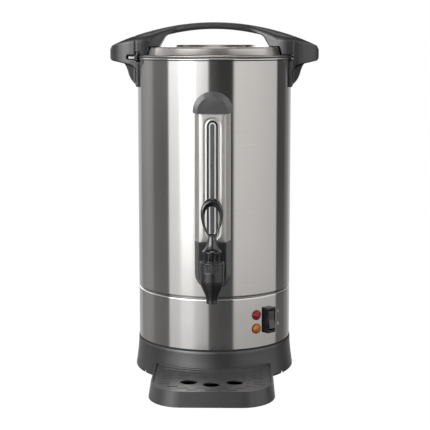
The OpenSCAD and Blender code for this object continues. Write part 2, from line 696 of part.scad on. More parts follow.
// Half of a round end that lies above its middle, or below it.
module half_end(z, extra, up = 1) intersection() {
  round_end(z, extra);
  translate([-far / 2, -far, up > 0 ? z : z - far]) cube([far, far, far]);
}

module gauge_cap() color("#3b3b3d") difference() {
  union() {
    difference() {
      union() {
        channel(cap_z, cap_mid_z + 0.1, cap_grow);
        half_end(cap_mid_z, cap_grow);
      }
      channel(cap_z - 1, cap_z + lip_h, 0.1);
      half_end(cap_mid_z, 0.6);
    }
    translate([0, -body_r - gauge_out - 0.6, vent_z]) rotate([-90, 0, 0]) cylinder(r = vent_r + 1.6, h = gauge_out + 0.3);
    translate([0, -body_r - gauge_out - 0.6, vent_z]) rotate([-90, 0, 0]) cylinder(r = vent_r, h = gauge_out + 8);
  }
  body_trim();
  translate([0, -body_r - gauge_out + 3, vent_z]) rotate([-90, 0, 0]) cylinder(r = vent_r - 1.6, h = far);
}

// Trims a gauge moulding to the body, but leaves what passes through the vent hole.
module body_trim() difference() {
  body_cut();
  at_side(0, vent_z) cylinder(r = vent_r, h = far);
}

module cap_nut() color("#d0d0d0") translate([0, -inner_r + 0.4, vent_z]) rotate([-90, 0, 0])
  hex_nut(12, vent_r + fit, 4);

housing_mid_z = tap_z - 7;
module gauge_housing() color("#242426") difference() {
  union() {
    channel(housing_mid_z, cover_z - 0.1, 0.4);
    half_end(housing_mid_z + 0.1, 0.4, -1);
  }
  channel(housing_mid_z, cover_z + 1, -shell_t);
  half_end(housing_mid_z + 0.1, -shell_t, -1);
  at_side(0, tap_z) cylinder(r = shank_r + 0.1, h = far);
  body_cut();
}

// ---- Handles ----------------------------------------------------------------------------------

crown_z = rim_z + arch_rise;
tip_x = body_r + tip_reach;
arch_r = (tip_x * tip_x + arch_drop * arch_drop) / (2 * arch_drop);
arch_mid_z = crown_z - arch_r;
seam_r = body_r + 4.8;                     // middle of the seam between lid handle and side handles
lid_top_z = rim_z + lid_rise;
lid_foot_r = body_r - lid_inset;
lid_edge_r = lid_foot_r - 3;
opening_x = lid_edge_r - 17;               // half the width of the hand gap at the lid
opening_z = crown_z - grip_t;
opening_r = 275;
corner_r = 10;
flange_z = rim_z + 0.1 + seal_t;           // underside of the lid's flange
flange_top_z = flange_z + wall;
tip_top_z = crown_z - arch_drop;
wing_z = rim_z - 10.4;                     // underside of the side handle where it meets its web
tip_low_z = rim_z - 2;

// Height of the arch's top line at a distance from the axis.
function arch_z(x) = arch_mid_z + sqrt(arch_r * arch_r - x * x);

// Half the handles' width at a distance from the axis.
function plan_half(x) = grip_w / 2 + (handle_w - grip_w) / 2 * smooth((x - waist_x) / (bulge_x - waist_x));

waist_x = 50;                              // the grip keeps its width up to here
bulge_x = body_r - 8;                      // and is widest here
plan_steps = 12;
tip_half = 3;                              // half the blunt end of the tip

// Outline of the whole handle seen from above: a quarter of it, then its mirror images.
function plan_quarter(inset) = concat(
  [for (i = [0:plan_steps]) let (x = waist_x + (bulge_x - waist_x) * i / plan_steps) [x, plan_half(x) - inset]],
  [for (i = [1:plan_steps]) let (t = sin(90 * i / plan_steps))
    [bulge_x + (tip_x - inset - bulge_x) * t, max(tip_half, (handle_w / 2 - inset) * sqrt(1 - pow(t, 2.2)))]]);
module plan_outline(inset = 0) {
  quarter = plan_quarter(inset);
  last = len(quarter) - 1;
  polygon(concat(
    quarter,
    [for (i = [last:-1:0]) [quarter[i][0], -quarter[i][1]]],
    [for (p = quarter) [-p[0], -p[1]]],
    [for (i = [last:-1:0]) [-quarter[i][0], quarter[i][1]]]));
}

module upright(depth) rotate([90, 0, 0]) translate([0, 0, -depth / 2]) linear_extrude(depth) children();

opening_mid_z = opening_z - opening_r;
side_lean = 29.5;                          // the ends of the gap lean in by this much
gap_z = lid_top_z - 4;                     // the gap is cut down to here, inside the lid
corner_over = 0.05;                        // the rounds cross the lines they join by this much

// Middle of the round between a leaning end of the gap and the arch's underside.
opening_mid = [0, opening_mid_z];
side_out = [cos(side_lean), sin(side_lean)];
side_up = [-sin(side_lean), cos(side_lean)];
side_foot = [opening_x, lid_top_z] - corner_r * side_out - opening_mid;
side_rise = side_foot * side_up;
side_l = sqrt(side_rise * side_rise - side_foot * side_foot + pow(opening_r - corner_r, 2)) - side_rise;
corner_at = opening_mid + side_foot + side_l * side_up;
gap_half = [[opening_x + (lid_top_z - gap_z) * tan(side_lean), gap_z], corner_at + corner_r * side_out, corner_at,
  opening_mid + 1.3 * (corner_at - opening_mid)];

// The hand gap between the arch and the lid.
module hand_gap() {
  intersection() {
    translate([0, opening_mid_z]) circle(r = opening_r, $fn = fine);
    polygon(concat(gap_half, [for (i = [3:-1:0]) [-gap_half[i][0], gap_half[i][1]]]));
  }
  for (side = [-1, 1]) translate([side * corner_at[0], corner_at[1]]) circle(r = corner_r + corner_over, $fn = fine);
}

tongue_h = 4.5;
tongue_z = flange_top_z - 5;
tongue_w = 6;
tongue_r = seam_r + 10.4;                  // reach of the lid's locking tongues
tongue_root_r = body_r + bead_r + 0.9;     // the tongues stay this far out to clear the bead
tongue_back = 1.6;                         // depth of the tongue's root inside the handle
lid_screw_x = opening_x + 9;
lid_screw_r = 2;
pocket_t = 4;                              // wall left round the pockets in the handles

module lid_clearance() {
  cylinder(r = tip_x + 50, h = flange_top_z + gap);
  translate([0, 0, flange_top_z])
    cylinder(r1 = lid_foot_r + 0.9, r2 = lid_edge_r + 0.9, h = lid_top_z - edge_r - flange_top_z);
  translate([0, 0, flange_top_z]) cylinder(r = lid_edge_r + 0.9, h = lid_top_z - flange_top_z);
}

// Locking tongue on the front of the left end; the same one turned half round is at the back right.
module tongue() difference() {
  union() {
    intersection() {
      translate([-far, -handle_w / 2 - tongue_w, tongue_z]) cube([far - body_r + 3, tongue_w - gap, tongue_h]);
      cylinder(r = tongue_r, h = far * 2, $fn = fine);
    }
    intersection() {
      translate([-body_r - 5, -handle_w / 2 - tongue_w, tongue_z])
        cube([8, tongue_w + tongue_back, flange_top_z + 5 - tongue_z]);
      cylinder(r = seam_r - seam_gap / 2, h = far * 2, $fn = fine);
    }
  }
  cylinder(r = tongue_root_r, h = flange_top_z + gap);
}

module lid_handle() color("#333335") difference() {
  union() {
    difference() {
      intersection() {
        upright(handle_w + 10) difference() {
          translate([0, arch_mid_z]) circle(r = arch_r, $fn = fine);
          hand_gap();
        }
        linear_extrude(crown_z + 20) plan_outline();
        cylinder(r = seam_r - seam_gap / 2, h = far * 2, $fn = fine);
      }
      lid_clearance();
      for (side = [0, 1]) mirror([side, 0]) lid_pocket();
    }
    tongue();
    rotate([0, 0, 180]) tongue();
  }
  for (side = [-1, 1]) translate([side * lid_screw_x, 0, 0]) cylinder(r = lid_screw_r + 0.05, h = lid_top_z + 12);
}

// Hollow under each end of the lid's handle.
module lid_pocket() intersection() {
  translate([lid_foot_r + 0.9, -handle_w / 2 + pocket_t, 0])
    cube([seam_r, handle_w - 2 * pocket_t, arch_z(seam_r) - pocket_t]);
  cylinder(r = seam_r - seam_gap / 2 - pocket_t, h = crown_z);
}

module lid_screws() color("silver") for (side = [-1, 1]) translate([side * lid_screw_x, 0, lid_top_z - wall])
  screw(lid_screw_r, 11, 3.8, 2.4);

// Right side handle: an arched wing, a leg that hugs the body, and a web between them.
handle_screw_r = 2.4;
handle_screw_zs = [rim_z - 31, rim_z - 14];
handle_screw_l = 7;
fillet_r = 11;
web_w = 34;
leg_foot_z = rim_z - leg_h;
leg_out = body_r + leg_t;

module wing_profile() intersection() {
  translate([0, arch_mid_z]) circle(r = arch_r, $fn = fine);
  polygon(concat(
    [[body_r - 8, wing_z - fillet_r]],
    arc_points(body_r + 1 + fillet_r, wing_z - fillet_r, fillet_r, fillet_r, 180, 102, 6),
    arc_points(tip_x - 5, tip_low_z + 1.6, 5, 5, -70, 0, 3),
    arc_points(tip_x - 5, tip_top_z - 5, 5, 5, 0, 55, 3),
    [[tip_x - 12, crown_z], [body_r - 8, crown_z]]));
}

module leg_profile() polygon([
  [body_r - 8, leg_foot_z], [body_r + 0.6, leg_foot_z], [leg_out + 1, leg_foot_z + 7],
  [leg_out + 1, wing_z + 4], [body_r - 8, wing_z + 4]]);

module web_profile() polygon([
  [body_r - 8, leg_foot_z + 1.5], [body_r + 0.8, leg_foot_z + 1.5], [body_r + 3.6, leg_foot_z + 4.6],
  [body_r + 6.6, leg_foot_z + 7.8], [body_r + 8.8, leg_foot_z + 10.8], [body_r + 10.6, leg_foot_z + 14.2],
  [body_r + 12, leg_foot_z + 18], [body_r + 13.4, leg_foot_z + 23], [body_r + 15, wing_z - 4],
  [body_r + 17, wing_z], [body_r + 20, wing_z + 2.5], [body_r + 20, wing_z + 6], [body_r - 8, wing_z + 6]]);

// Hollow under the wing, for the fingers.
module wing_pocket() intersection() {
  translate([body_r + 21, -handle_w / 2, wing_z - 2])
    cube([tip_reach, handle_w, arch_z(tip_x - pocket_t - 1) - pocket_t - wing_z + 2]);
  linear_extrude(crown_z) plan_outline(pocket_t);
}

module side_handle() difference() {
  union() {
    intersection() {
      upright(leg_w) wing_profile();
      linear_extrude(crown_z + 20) plan_outline();
    }
    intersection() {
      upright(leg_w) leg_profile();
      ring(leg_out, body_r - 6, crown_z);
    }
    upright(web_w) web_profile();
  }
  difference() {
    cylinder(r = seam_r + seam_gap / 2, h = far * 2, $fn = fine);
    cylinder(r = seam_r + seam_gap / 2 + 1, h = tongue_z - 2);
  }
  cylinder(r = body_r + 0.1, h = 2 * far, $fn = fine);
  translate([0, 0, rim_z - 2 * bead_r - gap]) cylinder(r = body_r + bead_r + gap, h = far);
  wing_pocket();
  tongue_slot();
  for (z = handle_screw_zs) at_side(90, z) cylinder(r = handle_screw_r + fit, h = inner_r + handle_screw_l);
}

// Slot that a lid tongue turns into, open through the handle's back face.
module tongue_slot() translate([0, 0, tongue_z - gap]) rotate_extrude(angle = 30)
  translate([body_r - 4, 0]) square([tongue_r + 2 * gap - body_r + 4, tongue_h + 2 * gap]);

module right_side_handle() color("#38383a") side_handle();
module left_side_handle() color("#38383a") rotate([0, 0, 180]) side_handle();

plate_turn = 9;
module handle_plates() color("silver") for (turn = [-90, 90]) difference() {
  rotate([0, 0, turn - 90 - plate_turn]) translate([0, 0, leg_foot_z + 4])
    rotate_extrude(angle = 2 * plate_turn) translate([inner_r - 1.3, 0]) square([1.2, leg_h - 12]);
  for (z = handle_screw_zs) at_side(turn, z) cylinder(r = handle_screw_r + 0.1, h = far);
}

module handle_screws() color("silver") for (turn = [-90, 90], z = handle_screw_zs)
  at_side(turn, z) translate([0, 0, inner_r - 1.5]) screw(handle_screw_r, handle_screw_l, 4.4, 2);

// ---- Lid --------------------------------------------------------------------------------------

module lid_seal() color("#c9c5bb") translate([0, 0, rim_z + 0.05]) ring(body_r + 0.2, body_r - 2.4, seal_t);

edge_r = 3;
spigot_r = body_r - 3.2;
module lid() color("#c8c8c6") difference() {
  rotate_extrude() polygon(concat(
        [[0, lid_top_z + disc_rise], [disc_d / 2 - 3, lid_top_z + disc_rise], [disc_d / 2, lid_top_z]],
        arc_points(lid_edge_r - edge_r, lid_top_z - edge_r, edge_r, edge_r, 90, 15, 5),
        [[lid_foot_r, flange_top_z], [body_r + 0.5, flange_top_z], [body_r + 0.5, flange_z], [spigot_r, flange_z],
         [spigot_r, flange_z - 7], [spigot_r - wall, flange_z - 7], [spigot_r - wall, flange_z], [lid_foot_r - wall, flange_z]],
        arc_points(lid_edge_r - edge_r, lid_top_z - edge_r, edge_r - wall, edge_r - wall, 15, 90, 5),
        [[disc_d / 2 - 0.4, lid_top_z - wall], [disc_d / 2 - 3.4, lid_top_z + disc_rise - wall], [0, lid_top_z + disc_rise - wall]]));
  for (side = [-1, 1]) translate([side * lid_screw_x, 0, 0]) cylinder(r = lid_screw_r + 0.1, h = far * 2);
}

// ---- Percolator -------------------------------------------------------------------------------

basket_r = basket_d / 2;
basket_top_z = rim_z - 17;
basket_z = basket_top_z - basket_h;
pump_r = pump_d / 2;
basket_t = 0.8;
pump_z = floor_z - well_h + 0.1;
hole_r = 1.2;

module holes(r_list, z) for (r = r_list) around(round(r * 0.75)) translate([r, 0, z - 2]) cylinder(r = hole_r, h = 6);

module filter_basket() color("#bdbdb8") difference() {
  union() {
    translate([0, 0, basket_z]) ring(basket_r, basket_r - basket_t, basket_h);
    translate([0, 0, basket_z]) ring(basket_r - overlap / 2, pump_r + 0.3, 1);
    translate([0, 0, basket_z]) ring(pump_r + 1.2, pump_r + 0.3, basket_h - 4);
  }
  holes([18, 30, 42, 54 * basket_d / 130], basket_z);
}

module basket_cover() color("#c6c6c2") difference() {
  union() {
    translate([0, 0, basket_top_z + 0.1]) cylinder(r = basket_r + 0.8, h = 1);
    translate([0, 0, basket_top_z - 4]) ring(basket_r - basket_t - 0.2, basket_r - basket_t - 1, 4.5);
  }
  translate([0, 0, basket_top_z - 10]) cylinder(r = pump_r + 0.4, h = 30);
  holes([16, 28, 40, 52 * basket_d / 130], basket_top_z);
}

module pump_tube() color("#c9c9c4") difference() {
  union() {
    translate([0, 0, pump_z + 14]) cylinder(r = pump_r, h = basket_top_z + 9 - pump_z - 14);
    translate([0, 0, pump_z]) cylinder(r1 = pump_foot_d / 2, r2 = pump_r + 2, h = 16);
    translate([0, 0, basket_z - 3.1]) cylinder(r = pump_r + 4, h = 3);
  }
  translate([0, 0, pump_z - 1]) cylinder(r = pump_r - 1, h = far);
  translate([0, 0, pump_z - 0.01]) cylinder(r1 = pump_foot_d / 2 - 1.4, r2 = pump_r - 0.2, h = 12);
  around(6) translate([pump_foot_d / 2 - 7, 0, pump_z - 1]) translate([0, -3, 0]) cube([20, 6, 3]);
}

module pump_valve() color("#9c9c98") translate([0, 0, pump_z + 0.4]) difference() {
  cylinder(r = 12, h = 1);
  translate([0, 0, -1]) cylinder(r = 1.6, h = 4);
}

// ---- Drip tray ----------------------------------------------------------------------------------

tray_z = foot_gap - 1;                     // underside, just off the counter
tray_front_y = -(body_r + tray_reach);
tray_half = tray_w / 2;
tray_flare = 3.5;
front_half = 40;                           // half the straight part of the front edge
corner_y = 54;                             // how far back the tray's rounded corners start
grid_t = 2;
grid_drop = 1.6;                           // the grid lies this far below the tray's rim
ledge_w = 3;

function tray_half_outline(grow, back_y) = concat(
  [[tray_half + grow, back_y], [tray_half + grow, tray_front_y + corner_y]],
  [for (i = [1:8]) let (a = 90 * i / 8)
    [front_half + (tray_half + grow - front_half) * cos(a), tray_front_y + corner_y - (corner_y + grow * 0.3) * sin(a)]]);

module tray_shape(grow) {
  half = tray_half_outline(grow, -40);
  polygon(concat(half, [for (i = [len(half) - 1:-1:0]) [-half[i][0], half[i][1]]]));
}

// Room that the base ring takes out of the tray, grown by a clearance.
module ring_room(clear) rotate_extrude() polygon(concat(
  [[0, base_h], [ring_outside[0][0] + clear, base_h]],
  [for (p = ring_outside) [p[0] + clear, p[1]]],
  [[ring_foot_r + clear, -1], [0, -1]]));

module drip_tray() color("#4b4b4d") {
  difference() {
    hull() {
      translate([0, 0, tray_z]) linear_extrude(0.5) tray_shape(tray_flare);
      translate([0, 0, tray_z + tray_h - 0.5]) linear_extrude(0.5) tray_shape(0);
    }
    difference() {
      translate([0, 0, tray_z + tray_wall]) linear_extrude(far) tray_shape(-tray_wall - ledge_w);
      ring_room(gap + tray_wall + ledge_w);
    }
    difference() {
      translate([0, 0, tray_z + tray_h - grid_drop - grid_t]) linear_extrude(far) tray_shape(-tray_wall);
      ring_room(gap + tray_wall);
    }
    ring_room(gap);
  }
  for (x = [-lug_x, lug_x]) intersection() {
    translate([x - lug_w / 2, -far, lug_z]) cube([lug_w, far, lug_h]);
    ring(ring_foot_r + 5, body_r - lug_in, base_h);
  }
}

module drip_grid() color("#57575a") difference() {
  union() {
    difference() {
      translate([0, 0, tray_z + tray_h - grid_drop - grid_t + fit]) linear_extrude(grid_t) tray_shape(-tray_wall - gap);
      ring_room(gap + tray_wall + gap);
    }
    intersection() {
      translate([0, 0, tray_z + tray_h - grid_drop - fit]) ring(body_r + 15, body_r + 12.5, 1.4);
      translate([-tray_half + 14, -far, 0]) cube([2 * tray_half - 28, far, 50]);
    }
  }
  translate([0, drain_y, 0]) cylinder(d = drain_d, h = 60);
  for (side = [-1, 1]) translate([side * (drain_d + 8), drain_y + 11, 0]) cylinder(d = drain_d, h = 60);
  for (row = slot_rows) for (x = row[1]) translate([x - slot_l / 2, row[0] - slot_h / 2, 0]) cube([slot_l, slot_h, 60]);
}

drain_y = tray_front_y + 40;
slot_l = 15;
slot_h = 2.4;
slot_rows = [
  [drain_y + 45, [-62, -38, 38, 62]],
  [drain_y + 36, [-62, -38, -14, 10, 38, 62]],
  [drain_y + 27, [-62, -38, -14, 10, 38, 62]],
  [drain_y + 12, [-64, 64]],
  [drain_y + 2, [-64, 64]],
  [drain_y - 10, [-52, 52]],
  [drain_y - 18, [-38, -14, 14, 38]],
  [drain_y - 27, [-26, 0, 26]]];

base_ring();
base_plate();
rubber_feet();
base_screws();
tie_rods();
tie_nuts();
skirt();
water_tank();
main_heater();
warming_ring();
heater_clamp();
heater_nuts();
boil_thermostat();
safety_cutout();
thermostat_nuts();
terminal_block();
power_inlet();
inlet_pins();
inlet_screws();
switch_frame();
switch_rocker();
boil_lamp_lens();
ready_lamp_lens();
lamp_bodies();
tap_shank();
shank_washer();
shank_nut();
tap_barrel();
tap_bonnet();
tap_stem();
seat_cup();
tap_spring();
lever_pin();
tap_lever();
gauge_tube();
gauge_grommets();
gauge_cover();
gauge_bezel();
gauge_window();
gauge_cap();
cap_nut();
gauge_housing();
left_side_handle();
right_side_handle();
handle_plates();
handle_screws();
lid_seal();
lid();
lid_handle();
lid_screws();
filter_basket();
basket_cover();
pump_tube();
pump_valve();
drip_tray();
drip_grid();
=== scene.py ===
import math

import bmesh
import bpy
from mathutils import Matrix, Vector


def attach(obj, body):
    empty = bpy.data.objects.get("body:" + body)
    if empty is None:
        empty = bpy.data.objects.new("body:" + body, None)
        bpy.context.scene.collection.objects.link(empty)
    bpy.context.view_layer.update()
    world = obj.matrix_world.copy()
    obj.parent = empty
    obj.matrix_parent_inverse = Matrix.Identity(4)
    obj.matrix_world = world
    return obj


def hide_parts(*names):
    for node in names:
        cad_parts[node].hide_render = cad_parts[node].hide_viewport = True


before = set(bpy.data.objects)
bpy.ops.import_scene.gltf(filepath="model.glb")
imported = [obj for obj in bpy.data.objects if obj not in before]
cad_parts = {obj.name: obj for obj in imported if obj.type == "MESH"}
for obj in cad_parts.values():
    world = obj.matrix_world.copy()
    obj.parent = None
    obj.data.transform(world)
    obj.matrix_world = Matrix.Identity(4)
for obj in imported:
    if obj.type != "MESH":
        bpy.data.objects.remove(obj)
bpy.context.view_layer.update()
scene = bpy.context.scene
mm = 0.001
print("frame loaded")

# camera

shot = {
    "distance": 1799.8,  # from the urn's axis, in mm
    "height": 481.5,  # above the counter
    "azimuth": 1.2,  # the urn is turned this little from the camera
    "pitch": 8.179,  # looking down
    "aside": 0.028,  # the axis stands a hair left of the middle
    "lens": 104.18,
}
cameraData = bpy.data.cameras.new("photoCamera")
cameraData.sensor_width = 36
cameraData.lens = shot["lens"]
cameraData.clip_start = 0.05
camera = bpy.data.objects.new("photoCamera", cameraData)
turn = math.radians(shot["azimuth"])
camera.location = Vector(
    (shot["distance"] * math.sin(turn), -shot["distance"] * math.cos(turn), shot["height"])
) * mm
camera.rotation_euler = (
    math.radians(90 - shot["pitch"]), 0, math.radians(shot["azimuth"] - shot["aside"])
)
scene.collection.objects.link(camera)
scene.camera = camera
scene.view_settings.view_transform = "Standard"

# materials

midNoise = {1: 0.3, 2: 0.7}  # a noise seldom leaves this range


def linear(code):
    values = [int(code[i : i + 2], 16) / 255 for i in (1, 3, 5)]
    return [v / 12.92 if v <= 0.04045 else ((v + 0.055) / 1.055) ** 2.4 for v in values] + [1]


def addNode(tree, kind, inputs=None, **settings):
    node = tree.nodes.new(kind)
    for name, value in settings.items():
        setattr(node, name, value)
    for name, value in (inputs or {}).items():
        if isinstance(value, bpy.types.NodeSocket):
            tree.links.new(value, node.inputs[name])
        else:
            node.inputs[name].default_value = value
    return node


def startMaterial(name):
    material = bpy.data.materials.new(name)
    material.use_nodes = True
    material.node_tree.nodes.clear()
    return material, material.node_tree


def brushedSteel(name, look):
    # stainless sheet brushed round its axis: reflections stay sharp sideways and smear up and down
    material, tree = startMaterial(name)
    place = addNode(tree, "ShaderNodeTexCoord").outputs["Object"]
    axes = addNode(tree, "ShaderNodeSeparateXYZ", {0: place}).outputs
    flat = addNode(
        tree, "ShaderNodeVectorMath", {0: place, 1: (1, 1, 0)}, operation="MULTIPLY"
    ).outputs[0]
    radius = addNode(tree, "ShaderNodeVectorMath", {0: flat}, operation="LENGTH").outputs["Value"]
    across = addNode(
        tree, "ShaderNodeMath", {0: radius, 1: look["lines"], 2: 0}, operation="MULTIPLY_ADD"
    ).outputs[0]
    upward = addNode(
        tree, "ShaderNodeMath", {0: axes["Z"], 1: look["lines"], 2: 0}, operation="MULTIPLY_ADD"
    ).outputs[0]
    around = addNode(
        tree, "ShaderNodeMath", {0: axes["X"], 1: look["streaks"]}, operation="MULTIPLY"
    ).outputs[0]
    brushing = addNode(tree, "ShaderNodeCombineXYZ", {0: across, 1: upward, 2: around}).outputs[0]
    lines = addNode(
        tree, "ShaderNodeTexNoise", {"Vector": brushing, "Scale": 1, "Detail": 3, "Roughness": 0.6}
    )
    cloud = addNode(tree, "ShaderNodeTexNoise", {"Vector": place, "Scale": 9, "Detail": 2})
    tone = addNode(
        tree,
        "ShaderNodeMix",
        {0: lines.outputs[0], 6: linear(look["dark"]), 7: linear(look["light"])},
        data_type="RGBA",
    )
    rough = addNode(
        tree,
        "ShaderNodeMapRange",
        {0: cloud.outputs[0], **midNoise, 3: look["roughness"] - 0.02, 4: look["roughness"] + 0.03},
    )
    grooves = addNode(
        tree,
        "ShaderNodeBump",
        {"Strength": look["groove"], "Distance": 0.0002, "Height": lines.outputs[0]},
    )
    tangent = addNode(tree, "ShaderNodeTangent", direction_type="RADIAL", axis="Z")
    steel = addNode(
        tree,
        "ShaderNodeBsdfPrincipled",
        {
            "Base Color": tone.outputs[2],
            "Metallic": 1,
            "Roughness": rough.outputs[0],
            "Anisotropic": look["stretch"],
            "Anisotropic Rotation": 0.25,  # a quarter turn
            "Normal": grooves.outputs[0],
            "Tangent": tangent.outputs[0],
        },
    )
    addNode(tree, "ShaderNodeOutputMaterial", {"Surface": steel.outputs[0]})
    return material


def plainMetal(name, look):
    # turned, cast or plated metal with a faint cloud in its polish
    material, tree = startMaterial(name)
    place = addNode(tree, "ShaderNodeTexCoord").outputs["Object"]
    cloud = addNode(tree, "ShaderNodeTexNoise", {"Vector": place, "Scale": look["scale"], "Detail": 4})
    tone = addNode(
        tree,
        "ShaderNodeMix",
        {0: cloud.outputs[0], 6: linear(look["dark"]), 7: linear(look["light"])},
        data_type="RGBA",
    )
    rough = addNode(
        tree,
        "ShaderNodeMapRange",
        {0: cloud.outputs[0], **midNoise, 3: look["roughness"] * 0.85, 4: look["roughness"] * 1.15},
    )
    pits = addNode(
        tree,
        "ShaderNodeBump",
        {"Strength": look["bump"], "Distance": 0.0003, "Height": cloud.outputs[0]},
    )
    metal = addNode(
        tree,
        "ShaderNodeBsdfPrincipled",
        {
            "Base Color": tone.outputs[2],
            "Metallic": look.get("metallic", 1),
            "Roughness": rough.outputs[0],
            "Normal": pits.outputs[0],
        },
    )
    addNode(tree, "ShaderNodeOutputMaterial", {"Surface": metal.outputs[0]})
    return material


def mouldedPlastic(name, look):
    # injection moulding: spark-eroded grain on the dull ones, a mirror skin with slight waves on the
    # glossy ones
    material, tree = startMaterial(name)
    place = addNode(tree, "ShaderNodeTexCoord").outputs["Object"]
    grain = addNode(
        tree,
        "ShaderNodeTexNoise",
        {"Vector": place, "Scale": look["grain"], "Detail": 3, "Roughness": 0.65},
    )
    cloud = addNode(tree, "ShaderNodeTexNoise", {"Vector": place, "Scale": 30, "Detail": 2})
    tone = addNode(
        tree,
        "ShaderNodeMix",
        {0: cloud.outputs[0], 6: linear(look["dark"]), 7: linear(look["light"])},
        data_type="RGBA",
    )
    rough = addNode(
        tree,
        "ShaderNodeMapRange",
        {0: grain.outputs[0], **midNoise, 3: look["roughness"] - 0.04, 4: look["roughness"] + 0.05},
    )
    skin = addNode(
        tree,
        "ShaderNodeBump",
        {"Strength": look["bump"], "Distance": 0.0002, "Height": grain.outputs[0]},
    )
    plastic = addNode(
        tree,
        "ShaderNodeBsdfPrincipled",
        {
            "Base Color": tone.outputs[2],
            "Roughness": rough.outputs[0],
            "IOR": 1.5,
            "Normal": skin.outputs[0],
            "Specular IOR Level": look.get("shine", 0.5),
        },
    )
    addNode(tree, "ShaderNodeOutputMaterial", {"Surface": plastic.outputs[0]})
    return material


def clearPlastic(name, look):
    # acrylic or glass with a faint tint and a little haze, so that what lies behind it stays clear
    material, tree = startMaterial(name)
    place = addNode(tree, "ShaderNodeTexCoord").outputs["Object"]
    haze = addNode(tree, "ShaderNodeTexNoise", {"Vector": place, "Scale": 60, "Detail": 2})
    rough = addNode(
        tree,
        "ShaderNodeMapRange",
        {0: haze.outputs[0], 3: look["roughness"], 4: look["roughness"] + 0.04},
    )
    clear = addNode(
        tree,
        "ShaderNodeBsdfPrincipled",
        {
            "Base Color": linear(look["light"]),
            "Roughness": rough.outputs[0],
            "IOR": look["ior"],
            "Transmission Weight": look["through"],
        },
    )
    addNode(tree, "ShaderNodeOutputMaterial", {"Surface": clear.outputs[0]})
    return material


# the sheet's brush lines are about 0.1 mm apart; they are drawn ten times coarser so that they show
bodySteel = brushedSteel(
    "brushedStainlessBody",
    {
        "light": "#D0CECC",
        "dark": "#C5C3C1",
        "roughness": 0.13,
        "stretch": 0.9,
        "lines": 900,
        "streaks": 14,
        "groove": 0.016,
    },
)
lidSteel = brushedSteel(
    "brushedStainlessLid",
    {
        "light": "#CFCBC7",
        "dark": "#C0BCB8",
        "roughness": 0.26,
        "stretch": 0.6,
        "lines": 800,
        "streaks": 10,
        "groove": 0.03,
    },
)
coverSteel = plainMetal(
    "satinStainlessCover",
    {
        "light": "#CFCDCA",
        "dark": "#C4C2BF",
        "roughness": 0.46,
        "scale": 90,
        "bump": 0.02,
        "metallic": 0.9,
    },
)
polishedSteel = plainMetal(
    "polishedStainless",
    {"light": "#CFCDCA", "dark": "#BFBDBA", "roughness": 0.18, "scale": 60, "bump": 0.02},
)
zincSteel = plainMetal(
    "zincPlatedSteel",
    {"light": "#B9BCBF", "dark": "#9EA1A5", "roughness": 0.32, "scale": 180, "bump": 0.05},
)
castAluminium = plainMetal(
    "castAluminium",
    {"light": "#B4B4B0", "dark": "#94948F", "roughness": 0.55, "scale": 320, "bump": 0.3},
)
pinBrass = plainMetal(
    "nickelBrass",
    {"light": "#D9C38A", "dark": "#BFA769", "roughness": 0.22, "scale": 120, "bump": 0.02},
)
handlePlastic = mouldedPlastic(
    "grainedPolypropyleneHandle",
    {"light": "#202021", "dark": "#1A1A1B", "roughness": 0.34, "grain": 900, "bump": 0.2, "shine": 1},
)
basePlastic = mouldedPlastic(
    "grainedPolypropyleneBase",
    {"light": "#2E2E2F", "dark": "#272728", "roughness": 0.34, "grain": 800, "bump": 0.22, "shine": 1},
)
trayPlastic = mouldedPlastic(
    "grainedPolypropyleneTray",
    {"light": "#3E3E3F", "dark": "#363637", "roughness": 0.34, "grain": 800, "bump": 0.22, "shine": 1},
)
capPlastic = mouldedPlastic(
    "dullPolypropyleneCap",
    {
        "light": "#505051",
        "dark": "#464647",
        "roughness": 0.34,
        "grain": 500,
        "bump": 0.12,
        "shine": 0.35,
    },
)
# nylon of the tap; it also colours the dark rings round the lamp lenses, which are painted shade
tapNylonAndShade = mouldedPlastic(
    "satinNylonTapAndPaintedShade",
    {
        "light": "#232324",
        "dark": "#1C1C1D",
        "roughness": 0.28,
        "grain": 700,
        "bump": 0.05,
        "shine": 0.9,
    },
)
glossNylon = mouldedPlastic(
    "glossNylonLever",
    {"light": "#121213", "dark": "#0D0D0E", "roughness": 0.14, "grain": 260, "bump": 0.02, "shine": 1},
)
housingPlastic = mouldedPlastic(
    "satinPlasticHousing",
    {"light": "#222223", "dark": "#1B1B1C", "roughness": 0.3, "grain": 800, "bump": 0.1, "shine": 0.8},
)
# black rubber of the feet; it also colours the black ring under the skirt, which is painted shade
rubberAndShadeBlack = mouldedPlastic(
    "blackRubberAndPaintedShade", {"light": "#252525", "dark": "#1B1B1B", "roughness": 0.75, "grain": 600, "bump": 0.3}
)
clearSilicone = mouldedPlastic(
    "milkySilicone",
    {"light": "#C9C6BE", "dark": "#B8B4AC", "roughness": 0.5, "grain": 300, "bump": 0.05},
)
greySilicone = mouldedPlastic(
    "greySilicone",
    {"light": "#4A4845", "dark": "#3F3D3A", "roughness": 0.5, "grain": 300, "bump": 0.05},
)
redSilicone = mouldedPlastic(
    "redSilicone", {"light": "#9A4238", "dark": "#8A382F", "roughness": 0.5, "grain": 300, "bump": 0.05}
)
phenolic = mouldedPlastic(
    "brownPhenolic",
    {"light": "#4A362B", "dark": "#382820", "roughness": 0.4, "grain": 500, "bump": 0.1},
)
ivoryNylon = mouldedPlastic(
    "ivoryNylon", {"light": "#D8D2C0", "dark": "#C9C2AE", "roughness": 0.4, "grain": 500, "bump": 0.1}
)
micaSheet = mouldedPlastic(
    "pressedMica", {"light": "#9C8B66", "dark": "#7D6D4C", "roughness": 0.6, "grain": 1200, "bump": 0.3}
)
frameNylon = mouldedPlastic(
    "satinNylonSwitch",
    {"light": "#0F0F10", "dark": "#0B0B0C", "roughness": 0.3, "grain": 700, "bump": 0.05, "shine": 0.5},
)
rockerNylon = mouldedPlastic(
    "satinNylonRocker",
    {"light": "#47474B", "dark": "#3C3C40", "roughness": 0.3, "grain": 500, "bump": 0.05},
)
